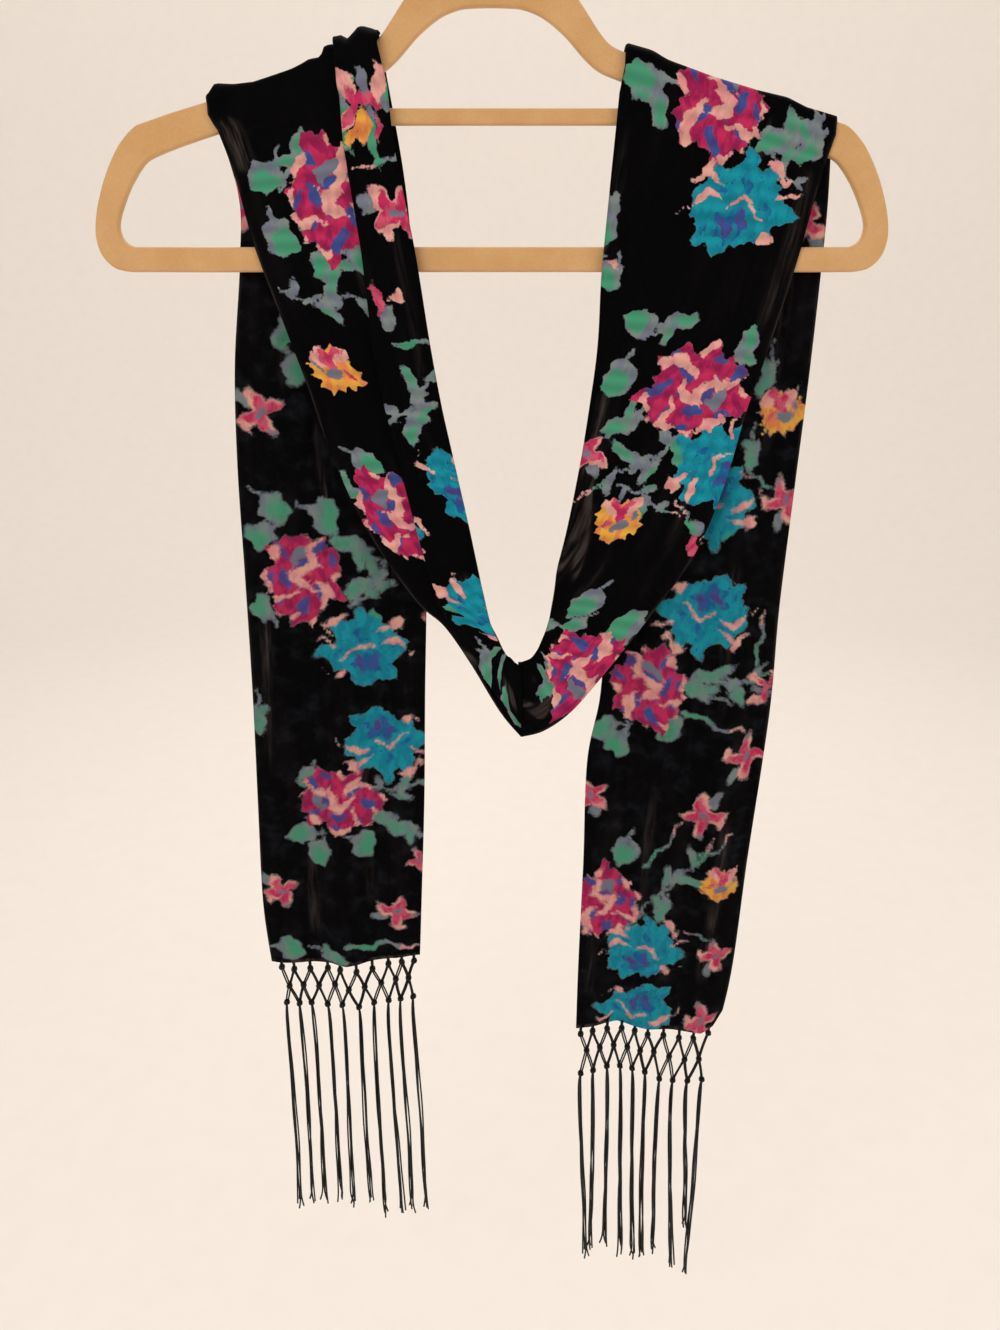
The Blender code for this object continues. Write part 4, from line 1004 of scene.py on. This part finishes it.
class SCARF_OT_cloth(bpy.types.Operator):
    """Lays the printed velvet strip: the two strands in front and the two tails behind"""

    bl_idname = "scarf.cloth"
    bl_label = "Velvet strip"

    def execute(self, context):
        settings = context.scene.scarf_settings
        face, back = velvet_finish("printed velvet", False), velvet_finish("printed velvet reverse", True)
        for name, (stretch, flip) in STRETCHES.items():
            points, u, v = stretch()
            # The creases' crests become a painted highlight, with lines of painted highlight added at the hem
            # and along the outer edge
            points, crest_highlight = lay_creases(points, u, v, CREASES[name], flip)
            if name.startswith("tail"):
                crest_highlight = np.maximum(crest_highlight, np.clip((v - v[-1] + HEM_HIGHLIGHT) / HEM_HIGHLIGHT * 2, 0.0, 1.0))
            crest_highlight = np.maximum(crest_highlight, 0.7 * np.exp(-((CLOTH_WIDTH - u) / EDGE_GLINT) ** 2))
            fields = {**print_fields(u, v, MOTIFS[name]), "crest_highlight": crest_highlight}
            mesh = cloth_mesh(name + "_cloth", points, u, v, fields, flip)
            piece = new_piece(name + "_cloth", mesh, face, back)
            shell = piece.modifiers.new("wall", "SOLIDIFY")
            shell.thickness = settings.wall
            shell.offset = 0.0
            shell.material_offset = 1
            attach(piece, "root")
            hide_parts(name)
        return {"FINISHED"}


def knot_places(net, hem_z):
    """Centres of a fringe's knots, row by row, x and z."""
    return [[(x, hem_z(x) - drop - extra) for x, extra in zip(across, own)] for drop, across, own in net]


def hem_line(rows, sag):
    """The height of a tail's hem at a place across it."""
    inner_x, inner_z, outer_x, outer_z = rows[-1][:4]

    def height(x):
        share = (x - inner_x) / (outer_x - inner_x)
        return inner_z + (outer_z - inner_z) * share + read_table(sag, share) - SEAM_GAP

    return height


def bowed(a, b, bow, count=8):
    """Points from a to b on a shallow bow, in the plane of the fringe."""
    a, b = Vector(a), Vector(b)
    return [a.lerp(b, k / count) + Vector((bow * sin(pi * k / count), 0, 0)) for k in range(count + 1)]


def fringe_mesh(name, net, ends, leans, hem_z, depth):
    """A net of knots and cords, and loose strands in fours under its last knots."""
    bm = bmesh.new()
    bm.loops.layers.uv.new("cord")
    rows = knot_places(net, hem_z)

    def at(x, z, out=0.0):
        return (x, depth + out, z)

    for x, z in rows[0]:
        for side in (-ROOT_PAIR, ROOT_PAIR):
            path = bowed(at(x + side, hem_z(x) + HEM_LAP), at(x + side * 0.4, z), 0.2 * side, 4)
            add_tube(bm, path, CORD_RADIUS, CORD_SIDES)
    for upper, lower in ((rows[0], rows[1]), (rows[1], rows[2])):
        shift = 0 if len(upper) > len(lower) else 1
        for i, (x, z) in enumerate(upper):
            for j, out in ((i - 1 + shift, CROSS_OUT), (i + shift, -CROSS_OUT)):
                if 0 <= j < len(lower):
                    for twin in (-CORD_PAIR, CORD_PAIR):
                        slack = 0.5 * sin(3.1 * i + j + twin)
                        path = bowed(at(x + twin, z, out), at(lower[j][0] + twin, lower[j][1], out), slack)
                        add_tube(bm, path, CORD_RADIUS, CORD_SIDES)
    for row in rows:
        for i, (x, z) in enumerate(row):
            turn = 25 * sin(2.3 * i + z)
            coil = []
            for k in range(COIL_STEPS + 1):
                angle = 2 * pi * KNOT_TURNS * k / COIL_STEPS
                rise = (k / COIL_STEPS - 0.5) * KNOT_HEIGHT
                fat = KNOT_RADIUS * (KNOT_CORE + (1 - KNOT_CORE) * sin(pi * k / COIL_STEPS))
                tilt = sin(radians(turn)) * fat * cos(angle) * 0.5
                coil.append((x + fat * cos(angle) * 0.8, depth + fat * sin(angle) * 0.8, z + rise + tilt))
            add_tube(bm, coil, CORD_RADIUS * 1.15, CORD_SIDES)
            core = bmesh.ops.create_uvsphere(bm, u_segments=10, v_segments=8,
                                             radius=KNOT_RADIUS * KNOT_CORE * MM)
            bmesh.ops.translate(bm, verts=core["verts"], vec=Vector((x, depth, z)) * MM)
    for i, ((x, z), end, lean) in enumerate(zip(rows[2], ends, leans)):
        for k in range(STRANDS_A_KNOT):
            tip = end + (k * 7 + i * 3) % 5 * TIP_STEP
            curl = (k - 1.5) * 1.6 * sin(1.7 * i + 2.2 * k + 0.5)
            path = []
            for j in range(STRAND_RINGS + 1):
                t = j / STRAND_RINGS
                out = 1 - exp(-t * 26)
                cross = 2 * pi * (0.55 + 0.12 * sin(i)) * t + 1.57 * k + 0.8 * i
                flick = max(t - FLICK_START, 0.0) / (1 - FLICK_START)
                across = (k - 1.5) * STRAND_PITCH * out * cos(0.9 * cross)
                across = across + 0.9 * sin(cross) * t + 0.3 * sin(17 * t + k + i) * t
                path.append((x + lean * t ** 1.3 + across + curl * flick ** 2, depth + 1.1 * out * cos(cross),
                             z + (tip - z) * t))
            add_tube(bm, path, STRAND_RADIUS, STRAND_SIDES)
    close_tubes(bm)
    return finished_mesh(name, bm)


class SCARF_OT_fringes(bpy.types.Operator):
    """Knots a fringe under each tail's hem"""

    bl_idname = "scarf.fringes"
    bl_label = "Knotted fringes"

    def execute(self, context):
        finish = cord_finish()
        for name, net, ends, leans, rows, sag in (
                ("fringe_left", LEFT_NET, LEFT_ENDS, LEFT_LEANS, LEFT_TAIL, LEFT_SAG),
                ("fringe_right", RIGHT_NET, RIGHT_ENDS, RIGHT_LEANS, RIGHT_TAIL, RIGHT_SAG)):
            mesh = fringe_mesh(name + "_cords", net, ends, leans, hem_line(rows, sag), rows[-1][4])
            piece = new_piece(name + "_cords", mesh, finish)
            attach(piece, "root")
            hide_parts(name)
        return {"FINISHED"}


def smooth_outline(points):
    """A closed outline through points and their mirror image, rounded by a smooth curve."""
    loop = points + [(-x, z) for x, z in reversed(points)]
    data = np.array(loop + loop[:3], dtype=float)
    out = []
    for i in range(len(loop)):
        p, q, r, s = (data[(i + k - 1) % len(loop)] for k in range(4))
        count = max(2, int(hypot(*(r - q)) / OUTLINE_STEP))
        if hypot(*(r - q)) > STRAIGHT_FROM:
            count = 2
        for k in range(count):
            u = k / count
            c1 = (r - p) * min(1.0, hypot(*(r - q)) / max(hypot(*(q - p)), 1e-6)) / 2
            c2 = (s - q) * min(1.0, hypot(*(r - q)) / max(hypot(*(s - r)), 1e-6)) / 2
            out.append((2 * u ** 3 - 3 * u ** 2 + 1) * q + (u ** 3 - 2 * u ** 2 + u) * c1
                       + (3 * u ** 2 - 2 * u ** 3) * r + (u ** 3 - u ** 2) * c2)
    return out


class SCARF_OT_hanger(bpy.types.Operator):
    """Moulds the flat flocked hanger with soft rims"""

    bl_idname = "scarf.hanger"
    bl_label = "Hanger"

    def execute(self, context):
        soft = context.scene.hanger_settings.rim
        flat = bpy.data.curves.new("hanger_outline", "CURVE")
        flat.dimensions = "2D"
        flat.fill_mode = "BOTH"
        flat.extrude = PLATE * MM / 2 - soft
        flat.bevel_depth = soft
        flat.bevel_resolution = 4
        flat.offset = -soft
        for outline in (OUTLINE, ARCH_GAP, BAR_GAP):
            points = smooth_outline(outline)
            spline = flat.splines.new("POLY")
            spline.points.add(len(points) - 1)
            for point, (x, z) in zip(spline.points, points):
                point.co = (x * MM, z * MM, 0.0, 1.0)
            spline.use_cyclic_u = True
        guide = bpy.data.objects.new("hanger_outline", flat)
        bm = bmesh.new()
        bm.from_mesh(guide.to_mesh())
        bpy.data.objects.remove(guide)
        bmesh.ops.rotate(bm, verts=bm.verts, matrix=Matrix.Rotation(pi / 2, 3, "X"))
        bmesh.ops.remove_doubles(bm, verts=bm.verts, dist=1e-6)
        bmesh.ops.recalc_face_normals(bm, faces=bm.faces)
        mesh = finished_mesh("hanger_plate", bm)
        mesh.set_sharp_from_angle(angle=radians(50))
        piece = new_piece("hanger_plate", mesh, flock_finish())
        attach(piece, "root")
        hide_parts("hanger")
        return {"FINISHED"}


class SCARF_OT_hook(bpy.types.Operator):
    """Bends the wire hook"""

    bl_idname = "scarf.hook"
    bl_label = "Hook"

    def execute(self, context):
        centre = WIRE / 2 - HOOK_RADIUS
        path = [(0.0, 0.0, NECK_TOP - 11.0), (0.0, 0.0, NECK_TOP - 4.0), (0.0, 0.0, NECK_TOP + 1.0),
                (0.6, 0.0, NECK_TOP + 3.2), (2.6, 0.0, NECK_TOP + 5.2)]
        for k in range(HOOK_STEPS + 1):
            angle = radians(HOOK_START + HOOK_TURN * k / HOOK_STEPS)
            path.append((HOOK_RADIUS * cos(angle), 0.0, centre + HOOK_RADIUS * sin(angle)))
        bm = bmesh.new()
        bm.loops.layers.uv.new("cord")
        add_tube(bm, path, WIRE / 2, 24)
        close_tubes(bm)
        ball = bmesh.ops.create_uvsphere(bm, u_segments=24, v_segments=12, radius=WIRE * TIP_BALL * MM)
        bmesh.ops.translate(bm, verts=ball["verts"], vec=Vector(path[-1]) * MM)
        piece = new_piece("hook_wire", finished_mesh("hook_wire", bm), steel_finish())
        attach(piece, "root")
        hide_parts("hanger_hook")
        return {"FINISHED"}


class SCARF_OT_stage(bpy.types.Operator):
    """Sets the pale floor, the soft lights and the camera"""

    bl_idname = "scarf.stage"
    bl_label = "Studio"

    def execute(self, context):
        stage = context.scene.stage_settings
        bm = bmesh.new()
        bmesh.ops.create_circle(bm, cap_ends=True, segments=64, radius=stage.cove)
        bmesh.ops.translate(bm, verts=bm.verts, vec=(0.0, 0.0, stage.floor))
        rim = [edge for edge in bm.edges if edge.is_boundary]
        for step in range(1, COVE_STEPS + 2):
            made = bmesh.ops.extrude_edge_only(bm, edges=rim)["geom"]
            rim = [item for item in made if isinstance(item, bmesh.types.BMEdge)]
            angle = min(step / COVE_STEPS, 1.0) * pi / 2
            far = stage.cove + COVE_RADIUS * sin(angle)
            high = stage.floor + COVE_RADIUS * (1 - cos(angle)) + (stage.wall if step > COVE_STEPS else 0.0)
            for vert in {vert for edge in rim for vert in edge.verts}:
                flat = vert.co.xy.normalized() * far
                vert.co = (flat.x, flat.y, high)
        bmesh.ops.recalc_face_normals(bm, faces=bm.faces)
        bmesh.ops.reverse_faces(bm, faces=bm.faces)
        mesh = finished_mesh("studio_bowl", bm)
        n = Nodes("pale sweep")
        grain = n.noise(n.add("ShaderNodeTexCoord", output=3), 30.0)
        darker = (*(c * 0.85 for c in stage.pale), 1.0)
        wall = n.mix(n.ramp(grain, 0.3, 0.8, 0.0, 0.12), (*stage.pale, 1.0), darker)
        sweep = new_piece("studio_bowl", mesh, n.finish(wall, 0.9, Specular_IOR_Level=0.1))
        world = context.scene.world or bpy.data.worlds.new("studio")
        context.scene.world = world
        world.use_nodes = True
        world.node_tree.nodes["Background"].inputs["Color"].default_value = AIR_TINT
        world.node_tree.nodes["Background"].inputs["Strength"].default_value = stage.air
        for name, place, size, power in LIGHTS:
            light = bpy.data.lights.new(name, "AREA")
            light.shape = "DISK"
            light.size = size
            light.energy = power
            light.color = LIGHT_TINT
            lamp = bpy.data.objects.new(name, light)
            lamp.location = place
            aim = Vector(WALL_AIM if name == "wall" else SCARF_AIM) - Vector(place)
            lamp.rotation_euler = aim.to_track_quat("-Z", "Y").to_euler()
            context.scene.collection.objects.link(lamp)
        lens = bpy.data.cameras.new("camera")
        lens.sensor_width = 36.0
        lens.lens = stage.lens
        camera = bpy.data.objects.new("camera", lens)
        camera.location = CAMERA_PLACE
        camera.rotation_euler = (radians(90 - stage.pitch), 0.0, 0.0)
        context.scene.collection.objects.link(camera)
        context.scene.camera = camera
        context.scene.view_settings.view_transform = "Standard"
        return {"FINISHED"}


def tint(label, note, *levels):
    """A colour setting, its default given in levels out of 255."""
    return FloatVectorProperty(name=label, description=note, subtype="COLOR", default=srgb(*levels))


class PrintSettings(bpy.types.PropertyGroup):
    """Colours of the print."""

    green: tint("Green", "Leaf green", 70, 150, 118)
    grey: tint("Grey", "Grey of fading leaves", 122, 134, 134)
    crimson: tint("Crimson", "Rose crimson", 190, 44, 92)
    wine: tint("Wine", "Darker rose", 150, 32, 82)
    teal: tint("Teal", "Teal of the second rose", 24, 146, 166)
    sea: tint("Sea", "Darker teal", 20, 128, 152)
    blue: tint("Blue", "Blue strokes", 58, 82, 150)
    violet: tint("Violet", "Violet strokes", 76, 66, 132)
    deep: tint("Deep blue", "Centre of the teal rose", 30, 92, 150)
    yellow: tint("Yellow", "Small flower", 226, 168, 66)
    orange: tint("Orange", "Small flower's shade", 218, 128, 74)
    peach: tint("Peach", "Pale petal strokes", 224, 166, 154)
    pink: tint("Pink", "Pink petal strokes", 214, 142, 142)
    rose: tint("Rose", "Lighter crimson strokes", 200, 84, 112)
    ash: tint("Ash", "Bluish grey hearts", 112, 118, 136)


class HangerSettings(bpy.types.PropertyGroup):
    """Finish of the hanger."""

    rim: FloatProperty(name="Rim", description="Radius of the plate's soft rims", default=1.7 * MM,
                       unit="LENGTH")
    flock: tint("Flock", "Colour of the flock", 203, 157, 104)
    worn: tint("Worn", "Colour where it is handled", 211, 168, 117)
    shade: tint("Shade", "Colour between the fibres", 169, 123, 75)


class StageSettings(bpy.types.PropertyGroup):
    """Floor, lights and camera."""

    floor: FloatProperty(name="Floor", description="Height of the floor", default=-1.16, unit="LENGTH")
    cove: FloatProperty(name="Cove", description="Where the round studio's floor starts to rise", default=2.6,
                        unit="LENGTH")
    wall: FloatProperty(name="Wall", description="Height of its wall above the cove", default=2.4,
                        unit="LENGTH")
    pale: tint("Pale", "Colour of the sweep", 243, 237, 232)
    air: FloatProperty(name="Air", description="Strength of the light from all round", default=0.48, min=0.0)
    lens: FloatProperty(name="Lens", description="Focal length in millimetres on a 36 mm side", default=27.04)
    pitch: FloatProperty(name="Pitch", description="How far the camera looks down, in degrees", default=19.4)


class SCARF_PT_panel(bpy.types.Panel):
    """Lists the scarf's operators and settings"""

    bl_label = "Velvet scarf"
    bl_idname = "SCARF_PT_panel"
    bl_space_type = "VIEW_3D"
    bl_region_type = "UI"
    bl_category = "Scarf"

    def draw(self, context):
        for operator in OPERATORS:
            self.layout.operator(operator.bl_idname)
        for group in SETTINGS:
            settings = getattr(context.scene, group)
            for key in settings.__annotations__:
                self.layout.prop(settings, key)


SETTINGS = {"scarf_settings": ScarfSettings, "print_settings": PrintSettings,
            "hanger_settings": HangerSettings, "stage_settings": StageSettings}
OPERATORS = (SCARF_OT_stage, SCARF_OT_hanger, SCARF_OT_hook, SCARF_OT_fringes, SCARF_OT_cloth)


def register():
    """Registers the add-on's classes and settings."""
    for group in SETTINGS.values():
        bpy.utils.register_class(group)
    for operator in OPERATORS:
        bpy.utils.register_class(operator)
    bpy.utils.register_class(SCARF_PT_panel)
    for name, group in SETTINGS.items():
        setattr(bpy.types.Scene, name, PointerProperty(type=group))


def unregister():
    """Takes the add-on's classes and settings out again."""
    for name in SETTINGS:
        delattr(bpy.types.Scene, name)
    for item in (SCARF_PT_panel, *reversed(OPERATORS), *reversed(list(SETTINGS.values()))):
        bpy.utils.unregister_class(item)


def main():
    """Builds everything."""
    register()
    bpy.ops.scarf.stage()
    bpy.ops.scarf.hanger()
    bpy.ops.scarf.hook()
    bpy.ops.scarf.fringes()
    bpy.ops.scarf.cloth()


if __name__ == "__main__":
    main()
